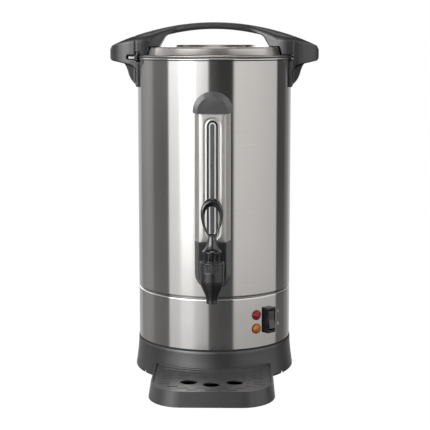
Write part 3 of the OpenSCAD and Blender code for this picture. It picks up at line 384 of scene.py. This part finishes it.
# pale paint for the front of the left lock tongue: a painted highlight for the light that catches it
tongueHighlightPaint = mouldedPlastic(
    "paintedTongueHighlight",
    {"light": "#D2D2D0", "dark": "#C4C4C2", "roughness": 0.35, "grain": 500, "bump": 0.03},
)
redLens = mouldedPlastic(
    "redLampAcrylic",
    {"light": "#C0343A", "dark": "#8E1A22", "roughness": 0.14, "grain": 400, "bump": 0.05},
)
amberLens = mouldedPlastic(
    "amberLampAcrylic",
    {"light": "#DE8630", "dark": "#B0560F", "roughness": 0.14, "grain": 400, "bump": 0.05},
)
sightGlass = clearPlastic(
    "borosilicateTube", {"light": "#F4F8F8", "roughness": 0.02, "ior": 1.47, "through": 0.95}
)
sightAcrylic = clearPlastic(
    "clearAcrylicWindow", {"light": "#F1F1EE", "roughness": 0.05, "ior": 1.49, "through": 0.25}
)
stripPlastic = mouldedPlastic(
    "greyScaleStrip",
    {"light": "#5E5F63", "dark": "#4A4B4F", "roughness": 0.35, "grain": 400, "bump": 0.02},
)
scalePaint = mouldedPlastic(
    "scalePaint", {"light": "#3A3A40", "dark": "#303036", "roughness": 0.4, "grain": 400, "bump": 0.02}
)
markPaint = mouldedPlastic(
    "markPaint", {"light": "#D5D4D2", "dark": "#C9C8C6", "roughness": 0.5, "grain": 400, "bump": 0.02}
)

nodeFinish = {
    "base_plate": zincSteel,
    "rubber_feet": rubberAndShadeBlack,
    "base_screws": zincSteel,
    "tie_rods": zincSteel,
    "tie_nuts": zincSteel,
    "main_heater": castAluminium,
    "warming_ring": micaSheet,
    "heater_clamp": zincSteel,
    "heater_nuts": zincSteel,
    "boil_thermostat": phenolic,
    "safety_cutout": phenolic,
    "thermostat_nuts": zincSteel,
    "terminal_block": ivoryNylon,
    "power_inlet": housingPlastic,
    "inlet_pins": pinBrass,
    "inlet_screws": zincSteel,
    "lamp_bodies": ivoryNylon,
    "tap_shank": polishedSteel,
    "shank_washer": clearSilicone,
    "shank_nut": polishedSteel,
    "tap_stem": polishedSteel,
    "seat_cup": redSilicone,
    "tap_spring": polishedSteel,
    "lever_pin": polishedSteel,
    "gauge_tube": sightGlass,
    "gauge_grommets": clearSilicone,
    "cap_nut": polishedSteel,
    "handle_plates": polishedSteel,
    "handle_screws": polishedSteel,
    "lid_seal": greySilicone,
    "lid_screws": polishedSteel,
    "filter_basket": polishedSteel,
    "basket_cover": polishedSteel,
    "pump_tube": polishedSteel,
    "pump_valve": polishedSteel,
}
for nodeName, finish in nodeFinish.items():
    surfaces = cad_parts[nodeName].data.materials
    surfaces.clear()
    surfaces.append(finish)
print("materials made")

# making and placing pieces

fullTurn = 256  # steps of the large turned shells
sharpAngle = 35  # steeper edges are kept sharp, in degrees


def spun(points, steps=fullTurn, centre=(0, 0)):
    # turns a section of (radius, height) in mm round an upright axis
    bm = bmesh.new()
    verts = [bm.verts.new(((centre[0] + r) * mm, centre[1] * mm, z * mm)) for r, z in points]
    ends = [] if points[0][0] == 0 and points[-1][0] == 0 else verts[:1]
    edges = [bm.edges.new(pair) for pair in zip(verts, verts[1:] + ends)]
    middle = (centre[0] * mm, centre[1] * mm, 0)
    bmesh.ops.spin(
        bm,
        geom=verts + edges,
        cent=middle,
        axis=(0, 0, 1),
        angle=2 * math.pi,
        steps=steps,
        use_merge=True,
    )
    bmesh.ops.remove_doubles(bm, verts=bm.verts, dist=1e-6)
    bmesh.ops.dissolve_degenerate(bm, edges=bm.edges, dist=1e-7)
    bmesh.ops.recalc_face_normals(bm, faces=bm.faces)
    return bm


def bridged(loops, capFirst=False, capLast=False, joinEnds=False):
    # joins closed loops of points in mm, one after the other
    bm = bmesh.new()
    rings = []
    for points in loops:
        verts = [bm.verts.new([c * mm for c in point]) for point in points]
        rings.append((verts, [bm.edges.new(pair) for pair in zip(verts, verts[1:] + verts[:1])]))
    for low, high in zip(rings, rings[1:] + (rings[:1] if joinEnds else [])):
        bmesh.ops.bridge_loops(bm, edges=low[1] + high[1])
    if capFirst:
        bm.faces.new(rings[0][0])
    if capLast:
        bm.faces.new(rings[-1][0])
    bmesh.ops.recalc_face_normals(bm, faces=bm.faces)
    return bm


def roundBox(low, high, radius, segments=3):
    bm = bmesh.new()
    bmesh.ops.create_cube(bm, size=1)
    size = [h - a for a, h in zip(low, high)]
    middle = [(h + a) / 2 for a, h in zip(low, high)]
    bmesh.ops.scale(bm, verts=bm.verts, vec=[s * mm for s in size])
    bmesh.ops.translate(bm, verts=bm.verts, vec=[c * mm for c in middle])
    bmesh.ops.bevel(
        bm,
        geom=bm.edges[:],
        offset=radius * mm,
        segments=segments,
        profile=0.5,
        affect="EDGES",
        material=-1,
    )
    return bm


def toMesh(name, bm, sharp=sharpAngle):
    mesh = bpy.data.meshes.new(name)
    bm.to_mesh(mesh)
    bm.free()
    mesh.shade_smooth()
    mesh.set_sharp_from_angle(angle=math.radians(sharp))
    return mesh


def joined(parts):
    # several shapes in one bmesh
    whole = bmesh.new()
    for part in parts:
        mesh = bpy.data.meshes.new("part")
        part.to_mesh(mesh)
        part.free()
        whole.from_mesh(mesh)
        bpy.data.meshes.remove(mesh)
    return whole


def settled(mesh, setUp):
    # the mesh as it is once a modifier has worked on it
    holder = bpy.data.objects.new("holder", mesh)
    scene.collection.objects.link(holder)
    setUp(holder)
    graph = bpy.context.evaluated_depsgraph_get()
    result = bpy.data.meshes.new_from_object(holder.evaluated_get(graph))
    bpy.data.objects.remove(holder)
    return result


def evenSkin(bm, voxel, passes, shape=None):
    # one closed skin of even faces, with its edges softened like a moulding's
    mesh = bpy.data.meshes.new("skin")
    bm.to_mesh(mesh)
    bm.free()

    def remesh(holder):
        skin = holder.modifiers.new("skin", "REMESH")
        skin.mode = "VOXEL"
        skin.voxel_size = voxel * mm
        skin.use_smooth_shade = True

    even = settled(mesh, remesh)
    result = bmesh.new()
    result.from_mesh(even)
    if shape:
        shape(result)
    for i in range(passes):
        bmesh.ops.smooth_vert(
            result, verts=result.verts, factor=0.5, use_axis_x=True, use_axis_y=True, use_axis_z=True
        )
    bmesh.ops.recalc_face_normals(result, faces=result.faces)
    return result


def cadCopy(nodeName):
    bm = bmesh.new()
    bm.from_mesh(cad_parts[nodeName].data)
    bmesh.ops.remove_doubles(bm, verts=bm.verts, dist=1e-5)
    return bm


def crispCopy(nodeName):
    bm = cadCopy(nodeName)
    bmesh.ops.dissolve_limit(bm, angle_limit=math.radians(1), verts=bm.verts, edges=bm.edges)
    return bm


def place(name, bm, finish, body, slotName, nodes=(), sharp=sharpAngle, bevel=None):
    mesh = toMesh(name, bm, sharp)
    mesh.materials.append(finish)
    piece = bpy.data.objects.new(name, mesh)
    scene.collection.objects.link(piece)
    if bevel:
        edge = piece.modifiers.new("edge", "BEVEL")
        edge.width = bevel * mm
        edge.segments = 3
        edge.limit_method = "ANGLE"
        edge.angle_limit = math.radians(sharpAngle)
        edge.harden_normals = True
    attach(piece, body)
    if nodes:
        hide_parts(*nodes)
    print("made", name, len(mesh.polygons), "faces")
    return piece


def placeMoulded(name, nodeName, finish, body, slotName, voxel, passes, shape=None):
    # the CAD shape with softened edges stands in for its node
    skin = evenSkin(cadCopy(nodeName), voxel, passes, shape)
    return place(name, skin, finish, body, slotName, [nodeName], sharp=180)


def atSide(degrees, height):
    # local Z points out of the body at this turn from the front, local Y points up
    return (
        Matrix.Rotation(math.radians(degrees), 4, "Z")
        @ Matrix.Translation((0, 0, height * mm))
        @ Matrix.Rotation(math.pi / 2, 4, "X")
    )


def arc(cx, cz, radius, start, end, steps):
    angles = [math.radians(start + (end - start) * i / steps) for i in range(steps + 1)]
    return [(cx + radius * math.cos(a), cz + radius * math.sin(a)) for a in angles]


# steel body

urn = {"radius": 110, "inner": 109, "rimZ": 452, "bead": 2, "floorZ": 134, "ledgeZ": 38}
r0, r1 = urn["radius"], urn["inner"]
beadZ = urn["rimZ"] - urn["bead"]
tankSection = (
    [(0, 124), (34.2, 124), (38.2, urn["floorZ"]), (r1 - 1.5, urn["floorZ"])]
    + [(r1, 135.5), (r1, 136.5), (r1, beadZ - 3.5), (r1, beadZ - 2.5)]
    + arc(r0 - 0.3, beadZ, urn["bead"], 248, -81, 18)
    + [(r0, beadZ - 3.2), (r0, beadZ - 4), (r0, 125), (r0, 124.2)]
    + [(109.8, 122.6), (109.3, 121.7), (108.4, 121.25), (107.8, 121.1)]  # groove above the skirt
    + [(107.8, 112), (106.8, 112), (106.8, 122.2), (r1 - 0.2, 124.4)]
    + [(r1 - 0.2, urn["floorZ"] - 1), (39, urn["floorZ"] - 1), (35, 123), (0, 123)]
)
place("tankShell", spun(tankSection), bodySteel, "root", "brushed_body", ["water_tank"], sharp=50)
skirtSection = [
    (r1, 38.05), (r0, 38.05), (r0, 39), (r0, 117.6), (r0, 118.2), (109.8, 119.4), (109.3, 120.2),
    (108.6, 120.7), (107.95, 120.85), (107.95, 119.9), (108.6, 119.2), (r1, 117.6), (r1, 116.8),
    (r1, 39),
]
place("skirtShell", spun(skirtSection), bodySteel, "root", "brushed_body", ["skirt"], sharp=50)

ringLook = {
    "top": 46,
    "foot": 1.5,
    "topRadius": 110.9,
    "footRadius": 115.6,
    "flare": 1.6,  # above 1 the ring widens mostly near its foot
    "lugHoles": (-50, 50),  # where the tray's lugs go in
    "notches": (-60, 60, 120, -120),  # degrees round from the front
    "steps": 288,
}


def ringRadius(z):
    share = 1 - (z - ringLook["foot"]) / (ringLook["top"] - ringLook["foot"])
    growth = ringLook["footRadius"] - ringLook["topRadius"]
    return ringLook["topRadius"] + growth * share ** ringLook["flare"]


ringSection = (
    [(110.15, urn["ledgeZ"]), (110.15, 45.6), (110.5, ringLook["top"])]
    + [(ringRadius(45.4 - i * 4), 45.4 - i * 4) for i in range(11)]
    + arc(ringRadius(4.5) - 2.9, 4.4, 2.9, 0, -90, 6)
    + [(111.9, ringLook["foot"]), (111.9, 5.9), (108.4, 23), (108.4, 35)]
    + [(105, 35), (105, urn["ledgeZ"])]
)
ringBlank = toMesh("ringBlank", spun(ringSection, ringLook["steps"]), 50)
cutters = [roundBox((x - 8.4, -125, 5.6), (x + 8.4, -60, 13.4), 0.3) for x in ringLook["lugHoles"]]
for degrees in ringLook["notches"]:
    notch = roundBox((-4, -125, -1), (4, -100, 5.5), 0.4)
    bmesh.ops.transform(notch, matrix=Matrix.Rotation(math.radians(degrees), 4, "Z"), verts=notch.verts)
    cutters.append(notch)
cutterMesh = toMesh("ringCutters", joined(cutters))


def cutRing(holder):
    cutter = bpy.data.objects.new("cutter", cutterMesh)
    scene.collection.objects.link(cutter)
    cut = holder.modifiers.new("cut", "BOOLEAN")
    cut.operation = "DIFFERENCE"
    cut.solver = "EXACT"
    cut.object = cutter


ringMesh = settled(ringBlank, cutRing)
bpy.data.objects.remove(bpy.data.objects["cutter"])
ringBm = bmesh.new()
ringBm.from_mesh(ringMesh)
place("baseRing", ringBm, basePlastic, "root", "grey_plastic", ["base_ring"], sharp=40)
# a thin black ring between the skirt and the base ring stands for the shadow gap there: painted shade,
# not a part of the urn
skirtShade = spun([(110.02, 45.2), (110.75, 45.2), (110.7, 48.1), (110.02, 48.3)])
place("paintedSkirtShadeRing", skirtShade, rubberAndShadeBlack, "root", "grey_plastic")

# lid

lidSection = (
    [(0, 469.7), (55, 469.7), (56.5, 469.7), (57.6, 469.3), (59.6, 467.0), (60.8, 466.5)]
    + [(62, 466.5), (91.6, 466.5)]
    + arc(92.5, 463.5, 3, 88, 14, 6)
    + [(98.2, 455.6), (98.8, 454.75), (99.8, 454.6)]
    + [(110.2, 454.6), (110.5, 454.3), (110.5, 453.8), (110.2, 453.6)]
    + [(106.8, 453.6), (106.8, 446.6), (105.8, 446.6), (105.8, 453.6), (97.6, 453.6)]
    + arc(92.5, 463.5, 2, 14, 88, 5)
    + [(60.4, 465.5), (59, 465.9), (57, 468.5), (0, 468.7)]
)
place("lidShell", spun(lidSection), lidSteel, "lid", "brushed_lid", ["lid"], sharp=50)

# handles

arch = {
    "crown": 501.2,
    "drop": 34.5,  # from the crown to the tips
    "tip": 149.5,
    "gripWidth": 26,
    "gripEnd": 50,
    "width": 56,
    "bulge": 102,  # where the plan is widest
    "blunt": 2.2,
    "opening": 275,
    "underside": 491.6,
    "gapRound": 60,  # the underside is rounded up to here
    "underRound": 3.5,
    "gripRound": 4,
    "shoulderRound": 12,  # added to the grip's round towards the ends
    "shoulder": (45, 90),
    "tipRound": 0.28,  # share of what is left to the tip
}
archRadius = (arch["tip"] ** 2 + arch["drop"] ** 2) / (2 * arch["drop"])


def archTop(x):
    return arch["crown"] - archRadius + math.sqrt(archRadius**2 - x * x)


def archUnder(x):
    return arch["underside"] - arch["opening"] + math.sqrt(arch["opening"] ** 2 - x * x)


def planHalf(x):
    share = min(1, max(0, (x - arch["gripEnd"]) / (arch["bulge"] - arch["gripEnd"])))
    past = max(0, (x - arch["bulge"]) / (arch["tip"] - arch["bulge"]))
    eased = (arch["width"] - arch["gripWidth"]) / 2 * share * share * (3 - 2 * share)
    wide = arch["gripWidth"] / 2 + eased
    return max(3, wide * math.sqrt(max(0, 1 - past ** arch["blunt"])))


def foldIn(one, other, radius):
    # a point near two faces moves onto the round between them
    a, b = radius - one, radius - other
    far = math.hypot(a, b)
    if a <= 0 or b <= 0 or far <= radius:
        return one, other
    return radius - a * radius / far, radius - b * radius / far


def topRound(x):
    start, end = arch["shoulder"]
    share = min(1, max(0, (x - start) / (end - start)))
    nearTip = max(0.5, (arch["tip"] - 2 - x) * arch["tipRound"])
    return min(arch["gripRound"] + arch["shoulderRound"] * share, nearTip)


def roundTop(bm):
    for vert in bm.verts:
        x, y, z = [c / mm for c in vert.co]
        x = min(abs(x), arch["tip"])
        radius = topRound(x)
        side, top = foldIn(planHalf(x) - abs(y), archTop(x) - z, radius)
        y = math.copysign(planHalf(x) - side, y)
        z = archTop(x) - top
        if x < arch["gapRound"]:
            side, under = foldIn(planHalf(x) - abs(y), z - archUnder(x), arch["underRound"])
            y = math.copysign(planHalf(x) - side, y)
            z = archUnder(x) + under
        vert.co.y, vert.co.z = y * mm, z * mm


for pieceName, nodeName, body in (
    ("archHandle", "lid_handle", "lid"),
    ("leftWing", "left_side_handle", "root"),
    ("rightWing", "right_side_handle", "root"),
):
    placeMoulded(
        pieceName, nodeName, handlePlastic, body, "handle_plastic", voxel=0.8, passes=3, shape=roundTop
    )

# a thin pale sheet on the front of the left lock tongue only: painted highlight, the right tongue gets
# none
tongueHighlightSheet = roundBox((-120.4, -34.15, 449.6), (-111.5, -31, 453.3), 1)
place("paintedTongueHighlightSheet", tongueHighlightSheet, tongueHighlightPaint, "lid", "handle_plastic")

# sight gauge

gauge = {
    "front": -128,
    "back": -106.8,
    "half": 18.5,
    "footHalf": 24.9,
    "low": 203.4,
    "high": 384,
    "slotLow": 210,
    "slotHigh": 369.2,
    "slotHalf": 7.5,
    "corner": 12,  # the cover's side edges have a point this far from their ends
    "steps": 14,  # on each round end
    # half width and depth of the rim pressed round the slot
    "rim": ((7.5, 1.0), (7.5, 0.2), (7.7, 0.0), (8.2, 0.1), (9.9, 0.8), (12.4, 0.05), (12.8, 0.0)),
    # half width and Y of the loops that make the three pieces in the slot
    "bezel": (
        (7.45, -124.6), (7.45, -127.3), (7.2, -127.5), (5.2, -127.2), (4.95, -126.6), (4.95, -124.6),
    ),
    "window": ((4.85, -124.8), (4.85, -126.6), (4.4, -127.1), (3.3, -127.1), (2.85, -126.5)),
    "strip": ((2.8, -126.45), (2.8, -126.75), (2.4, -126.8)),
    "dots": range(220, 362, 5),  # heights of the scale's dots
}


def slotLoop(half, y):
    # a loop with round ends, everywhere as far from the slot's edge as its half width says
    grow = half - gauge["slotHalf"]
    low, high = gauge["slotLow"] - grow, gauge["slotHigh"] + grow
    top = [(x, y, z) for x, z in arc(0, high - half, half, 0, 180, gauge["steps"])]
    return top + [(x, y, z) for x, z in arc(0, low + half, half, 180, 360, gauge["steps"])]


def edgeLoop(half, y):
    # as many points as a slot loop has, so that the two can be bridged
    low, high, inset, steps = gauge["low"], gauge["high"], gauge["corner"], gauge["steps"]
    top = [(half - 2 * half * (i - 1) / (steps - 2), y, high) for i in range(1, steps)]
    top = [(half, y, high - inset)] + top + [(-half, y, high - inset)]
    return top + [(-x, y, low + high - z) for x, y, z in top]


coverLoops = [slotLoop(half, gauge["front"] + drop) for half, drop in gauge["rim"]] + [
    edgeLoop(gauge["half"] - 0.4, gauge["front"] + 1.6),
    edgeLoop(gauge["half"], gauge["front"] + 1.9),
    edgeLoop(gauge["footHalf"], gauge["back"]),
]
place("gaugeCover", bridged(coverLoops), coverSteel, "root", "satin_cover", ["gauge_cover"], bevel=0.6)
bezel = bridged([slotLoop(*loop) for loop in gauge["bezel"]], joinEnds=True)
place("gaugeBezel", bezel, glossNylon, "root", "black_gloss", ["gauge_bezel"], sharp=60)
window = bridged([slotLoop(*loop) for loop in gauge["window"]], capFirst=True, capLast=True)
place("gaugeWindow", window, sightAcrylic, "root", "clear_window", ["gauge_window"], sharp=60)
strip = bridged([slotLoop(*loop) for loop in gauge["strip"]], capFirst=True, capLast=True)
place("gaugeStrip", strip, stripPlastic, "root", "black_gloss", sharp=60)
ticks = []
for z in gauge["dots"]:
    for x in (-1.1, 1.1):
        ticks.append(roundBox((x - 0.4, -126.95, z - 0.5), (x + 0.4, -126.7, z + 0.5), 0.1, 2))
ticks.append(roundBox((-2.2, -127.0, 306), (-0.6, -126.7, 309), 0.12, 2))
place("gaugeTicks", joined(ticks), scalePaint, "root", "black_gloss")
place("gaugeCap", crispCopy("gauge_cap"), capPlastic, "root", "grey_plastic", ["gauge_cap"], bevel=1.1)
placeMoulded(
    "gaugeHousing", "gauge_housing", housingPlastic, "root", "black_plastic", voxel=0.6, passes=3
)

# tap

tap = {
    "y": -158,
    "leverZ": 194.3,
    "loopTop": 268.3,
    "outer": (30.4, 53.6),  # width and height of the lever's loop
    "inner": (20.4, 39.5),
    "innerDrop": 11.4,
    "depth": 4.5,
    "egg": 0.26,  # how much wider the loop is above its middle
    "eggWidest": 1.03,  # what that adds to the full width
    "steps": 56,
    "sectionSteps": 20,
    "trumpetSteps": 64,
}
placeMoulded("tapBarrel", "tap_barrel", tapNylonAndShade, "root", "black_plastic", voxel=0.45, passes=2)
placeMoulded("tapBonnet", "tap_bonnet", tapNylonAndShade, "root", "black_plastic", voxel=0.3, passes=2)


def eggPoint(width, height, top, angle):
    x = width / 2 * math.sin(angle) * (1 + tap["egg"] * math.cos(angle)) / tap["eggWidest"]
    return x, top - height / 2 + height / 2 * math.cos(angle)


sectionAngles = [2 * math.pi * j / tap["sectionSteps"] for j in range(tap["sectionSteps"])]
loopLoops = []
for i in range(tap["steps"]):
    a = 2 * math.pi * i / tap["steps"]
    outer = eggPoint(*tap["outer"], tap["loopTop"], a)
    inner = eggPoint(*tap["inner"], tap["loopTop"] - tap["innerDrop"], a)
    middle = [(p + q) / 2 for p, q in zip(outer, inner)]
    half = [(p - q) / 2 for p, q in zip(outer, inner)]
    section = []
    for b in sectionAngles:
        x, z = [m + h * math.cos(b) for m, h in zip(middle, half)]
        section.append((x, tap["y"] + tap["depth"] * math.sin(b), z))
    loopLoops.append(section)
trumpetSection = [
    (0, tap["leverZ"]), (12.3, tap["leverZ"]), (12.8, 194.8), (12.8, 196.4), (12.2, 197.1),
    (10.6, 198.6), (9.3, 200.6), (8.2, 203.2), (7.3, 206.4), (6.6, 209.8), (6.0, 213.2), (5.0, 217),
    (3.6, 220), (0, 221),
]
trumpet = spun(trumpetSection, tap["trumpetSteps"], (0, tap["y"]))
leverSkin = evenSkin(joined([bridged(loopLoops, joinEnds=True), trumpet]), voxel=0.4, passes=6)
place("tapLever", leverSkin, glossNylon, "tap_lever", "black_gloss", ["tap_lever"], sharp=180)

# switch and lamps

placeMoulded("switchFrame", "switch_frame", frameNylon, "root", "black_plastic", voxel=0.35, passes=5)
placeMoulded("switchRocker", "switch_rocker", rockerNylon, "rocker", "black_gloss", voxel=0.3, passes=2)

lampLook = {"turn": 33.6, "heights": (94.5, 75.1), "steps": 48}
lensSection = [
    (0, 109.2), (6.2, 109.2), (6.4, 109.6), (6.4, 111.0), (6.1, 111.6), (5.4, 111.9), (5.0, 111.5),
    (4.8, 112.0), (4.2, 112.7), (3.2, 113.2), (2.9, 112.9), (2.5, 113.3), (1.4, 113.55), (1.1, 113.3),
    (0.7, 113.6), (0, 113.6),
]
for lampName, z, finish, slotName, nodeName in (
    ("boilLens", lampLook["heights"][0], redLens, "red_lens", "boil_lamp_lens"),
    ("readyLens", lampLook["heights"][1], amberLens, "amber_lens", "ready_lamp_lens"),
):
    lens = spun(lensSection, lampLook["steps"])
    bmesh.ops.transform(lens, matrix=atSide(lampLook["turn"], z), verts=lens.verts)
    place(lampName, lens, finish, "root", slotName, [nodeName], sharp=25)

# thin black rings round the lenses stand for the shadow at their edges: painted shade
lampShadeRings = []
for z in lampLook["heights"]:
    lampShadeRings.append(spun([(6.45, 109.3), (7.3, 109.3), (7.2, 110.8), (6.5, 111.2)], lampLook["steps"]))
    bmesh.ops.transform(lampShadeRings[-1], matrix=atSide(lampLook["turn"], z), verts=lampShadeRings[-1].verts)
place("paintedLampShadeRings", joined(lampShadeRings), tapNylonAndShade, "root", "black_plastic")

marks = {"turn": 56.6, "onZ": 93.5, "offZ": 76, "steps": 32}  # right of the switch
onMark = roundBox((-0.6, -2.1, 109.95), (0.6, 2.1, 110.12), 0.06, 2)
bmesh.ops.transform(onMark, matrix=atSide(marks["turn"], marks["onZ"]), verts=onMark.verts)
offMark = spun([(1.3, 109.95), (2.3, 109.95), (2.3, 110.12), (1.3, 110.12)], marks["steps"])
bmesh.ops.transform(offMark, matrix=atSide(marks["turn"], marks["offZ"]), verts=offMark.verts)
place("switchMarks", joined([onMark, offMark]), markPaint, "root", "grey_plastic")

# drip tray

for pieceName, nodeName, bevel in (("dripTray", "drip_tray", 0.7), ("dripGrid", "drip_grid", 0.45)):
    piece = crispCopy(nodeName)
    place(pieceName, piece, trayPlastic, nodeName, "tray_plastic", [nodeName], bevel=bevel)

# studio

# light panels and dark flags round the urn: compass angle from the front, towards the right, and
# brightness
panels = [
    (-180, 0.75), (-146, 0.62), (-140, 0.33), (-116, 0.42), (-106, 0.36), (-101, 0.2), (-84, 0.165),
    (-72, 0.17), (-69.5, 1.25), (-60, 1.25), (-51, 1.35), (-47, 1.4), (-33, 1.4), (-27.5, 1.25),
    (-20.5, 1.12), (-14.4, 0.95), (-9, 0.95), (-6.5, 0.09), (12, 0.035), (28, 0.04), (31.5, 0.92),
    (60, 0.87), (87, 0.79), (107, 0.72), (109.5, 0.07), (131, 0.09), (137, 0.2), (147, 0.3), (153, 0.5),
    (180, 0.75),
]
# the brightest part of the left panel, by compass angle
core = [(-180, 0), (-53, 0), (-47, 1), (-33, 1), (-26, 0), (180, 0)]
# height of the ray (0 is level, 1 straight up), gain of the left and right panels there, light added
# all round, and gain of the core
climb = [
    (-0.8, 0.25, 0.05, 0.03, 0), (-0.45, 0.25, 0.06, 0.03, 0), (-0.3, 0.3, 0.25, 0.08, 0),
    (-0.244, 0.54, 0.46, 0.16, 0), (-0.233, 0.56, 0.56, 0.15, 0), (-0.219, 0.58, 0.65, 0.13, 0),
    (-0.187, 0.68, 0.854, 0.06, 0), (-0.155, 0.77, 0.93, 0.02, 0.15), (-0.124, 0.84, 0.97, 0, 0.5),
    (-0.091, 0.905, 0.99, 0, 0.85), (-0.027, 1, 1, 0, 1), (0.05, 1.15, 1, 0, 1),
    (0.09, 3.5, 1.3, 0.1, 1), (0.3, 3.5, 1.3, 0.2, 1), (0.38, 0.62, 0.8, 0.45, 0.5),
    (0.6, 0.5, 0.6, 0.4, 0), (0.75, 0.1, 0.1, 0.05, 0), (0.94, 0.1, 0.1, 0.05, 0),
    (0.98, 0.5, 0.5, 1.6, 0),
]
studio = {
    "brightest": 4,  # the ramps hold values up to 1, so these two scale them
    "gain": 4,
    "lowest": -1,
    "highest": 1,
    "warm": (1, 0.985, 0.965),  # tint of the right side
    "warmFrom": 20,
    "diffuse": 0.3,  # grey that lights the matt surfaces
    "core": 2,  # brightness that the core adds to its panel
    "blend": 0.15,  # the left gain gives way to the right one this near the middle
}
world = bpy.data.worlds.new("studioWorld")
scene.world = world
world.use_nodes = True
tree = world.node_tree
tree.nodes.clear()
direction = addNode(tree, "ShaderNodeTexCoord").outputs["Generated"]
parts = addNode(tree, "ShaderNodeSeparateXYZ", {0: direction}).outputs
forward = addNode(tree, "ShaderNodeMath", {0: parts["Y"], 1: -1}, operation="MULTIPLY").outputs[0]
compass = addNode(tree, "ShaderNodeMath", {0: parts["X"], 1: forward}, operation="ARCTAN2").outputs[0]
share = addNode(tree, "ShaderNodeMapRange", {0: compass, 1: -math.pi, 2: math.pi}).outputs[0]


def fillRamp(share, stops):
    ramp = addNode(tree, "ShaderNodeValToRGB", {0: share})
    for position, colour in stops[1:-1]:
        ramp.color_ramp.elements.new(position)
    for element, (position, colour) in zip(ramp.color_ramp.elements, stops):
        element.position = position
        element.color = colour
    return ramp.outputs


stops = []
for angle, level in panels:
    tint = studio["warm"] if angle > studio["warmFrom"] else (1, 1, 1)
    stops.append(((angle + 180) / 360, [level / studio["brightest"] * t for t in tint] + [1]))
band = fillRamp(share, stops)[0]
hot = fillRamp(share, [((angle + 180) / 360, (level, level, level, 1)) for angle, level in core])[0]
span = studio["highest"] - studio["lowest"]
height = addNode(
    tree, "ShaderNodeMapRange", {0: parts["Z"], 1: studio["lowest"], 2: studio["highest"]}
).outputs[0]
stops = [
    ((z - studio["lowest"]) / span, (left / studio["gain"], right / studio["gain"], lift, coreGain))
    for z, left, right, lift, coreGain in climb
]
climbRamp = fillRamp(height, stops)
levels = addNode(tree, "ShaderNodeSeparateColor", {0: climbRamp[0]}).outputs
towardsRight = addNode(
    tree, "ShaderNodeMapRange", {0: parts["X"], 1: -studio["blend"], 2: studio["blend"]}
).outputs[0]
reach = addNode(tree, "ShaderNodeMix", {0: towardsRight, 2: levels[0], 3: levels[1]}).outputs[0]
gain = addNode(
    tree, "ShaderNodeMath", {0: reach, 1: studio["brightest"] * studio["gain"]}, operation="MULTIPLY"
).outputs[0]
banded = addNode(tree, "ShaderNodeVectorMath", {0: band, "Scale": gain}, operation="SCALE").outputs[0]
coreGlow = addNode(tree, "ShaderNodeMath", {0: hot, 1: climbRamp[1]}, operation="MULTIPLY").outputs[0]
added = addNode(
    tree, "ShaderNodeMath", {0: coreGlow, 1: studio["core"], 2: levels[2]}, operation="MULTIPLY_ADD"
).outputs[0]
lift = addNode(tree, "ShaderNodeCombineXYZ", {0: added, 1: added, 2: added}).outputs[0]
bandedGlow = addNode(tree, "ShaderNodeVectorMath", {0: banded, 1: lift}, operation="ADD")
path = addNode(tree, "ShaderNodeLightPath").outputs
seen = addNode(
    tree,
    "ShaderNodeMath",
    {0: path["Is Camera Ray"], 1: path["Is Transmission Ray"]},
    operation="MAXIMUM",
).outputs[0]
grey = studio["diffuse"]
soft = addNode(
    tree,
    "ShaderNodeMix",
    {0: path["Is Glossy Ray"], 6: (grey, grey, grey, 1), 7: bandedGlow.outputs[0]},
    data_type="RGBA",
)
colour = addNode(
    tree, "ShaderNodeMix", {0: seen, 6: soft.outputs[2], 7: (1, 1, 1, 1)}, data_type="RGBA"
)
background = addNode(tree, "ShaderNodeBackground", {"Color": colour.outputs[2], "Strength": 1})
addNode(tree, "ShaderNodeOutputWorld", {"Surface": background.outputs[0]})

# soft lamps: place in m, side in m and power in W; all point at the middle of the urn
lamps = (
    ("keyPanel", (-1.6, -1.3, 1.3), 1.2, 60),
    ("sidePanel", (2.0, -0.9, 1.0), 1.2, 20),
    ("topPanel", (0.1, 0.3, 2.3), 1.2, 5),
)
aim = Vector((0, 0, 0.25))
for name, spot, size, power in lamps:
    light = bpy.data.lights.new(name, "AREA")
    light.shape = "SQUARE"
    light.size = size
    light.energy = power
    holder = bpy.data.objects.new(name, light)
    holder.visible_glossy = False  # the steel mirrors the panels of the world, not the lamps
    holder.location = spot
    holder.rotation_euler = (aim - Vector(spot)).to_track_quat("-Z", "Y").to_euler()
    scene.collection.objects.link(holder)

floorLook = {"colour": "#6E6E6D", "seen": 0.95, "glow": 1.06, "radius": 2.5}
floorMaterial, tree = startMaterial("paleFloor")
path = addNode(tree, "ShaderNodeLightPath").outputs
seen = addNode(
    tree, "ShaderNodeMath", {0: path["Is Camera Ray"], 1: floorLook["seen"]}, operation="MULTIPLY"
).outputs[0]
matte = addNode(tree, "ShaderNodeBsdfDiffuse", {"Color": linear(floorLook["colour"])})
white = addNode(tree, "ShaderNodeEmission", {"Color": (1, 1, 1, 1), "Strength": floorLook["glow"]})
mixed = addNode(tree, "ShaderNodeMixShader", {0: seen, 1: matte.outputs[0], 2: white.outputs[0]})
addNode(tree, "ShaderNodeOutputMaterial", {"Surface": mixed.outputs[0]})
floorBm = bmesh.new()
bmesh.ops.create_circle(floorBm, cap_ends=True, segments=64, radius=floorLook["radius"])
floor = bpy.data.objects.new("floor", toMesh("floor", floorBm))
floor.data.materials.append(floorMaterial)
floor.visible_glossy = False
scene.collection.objects.link(floor)
print("studio made")
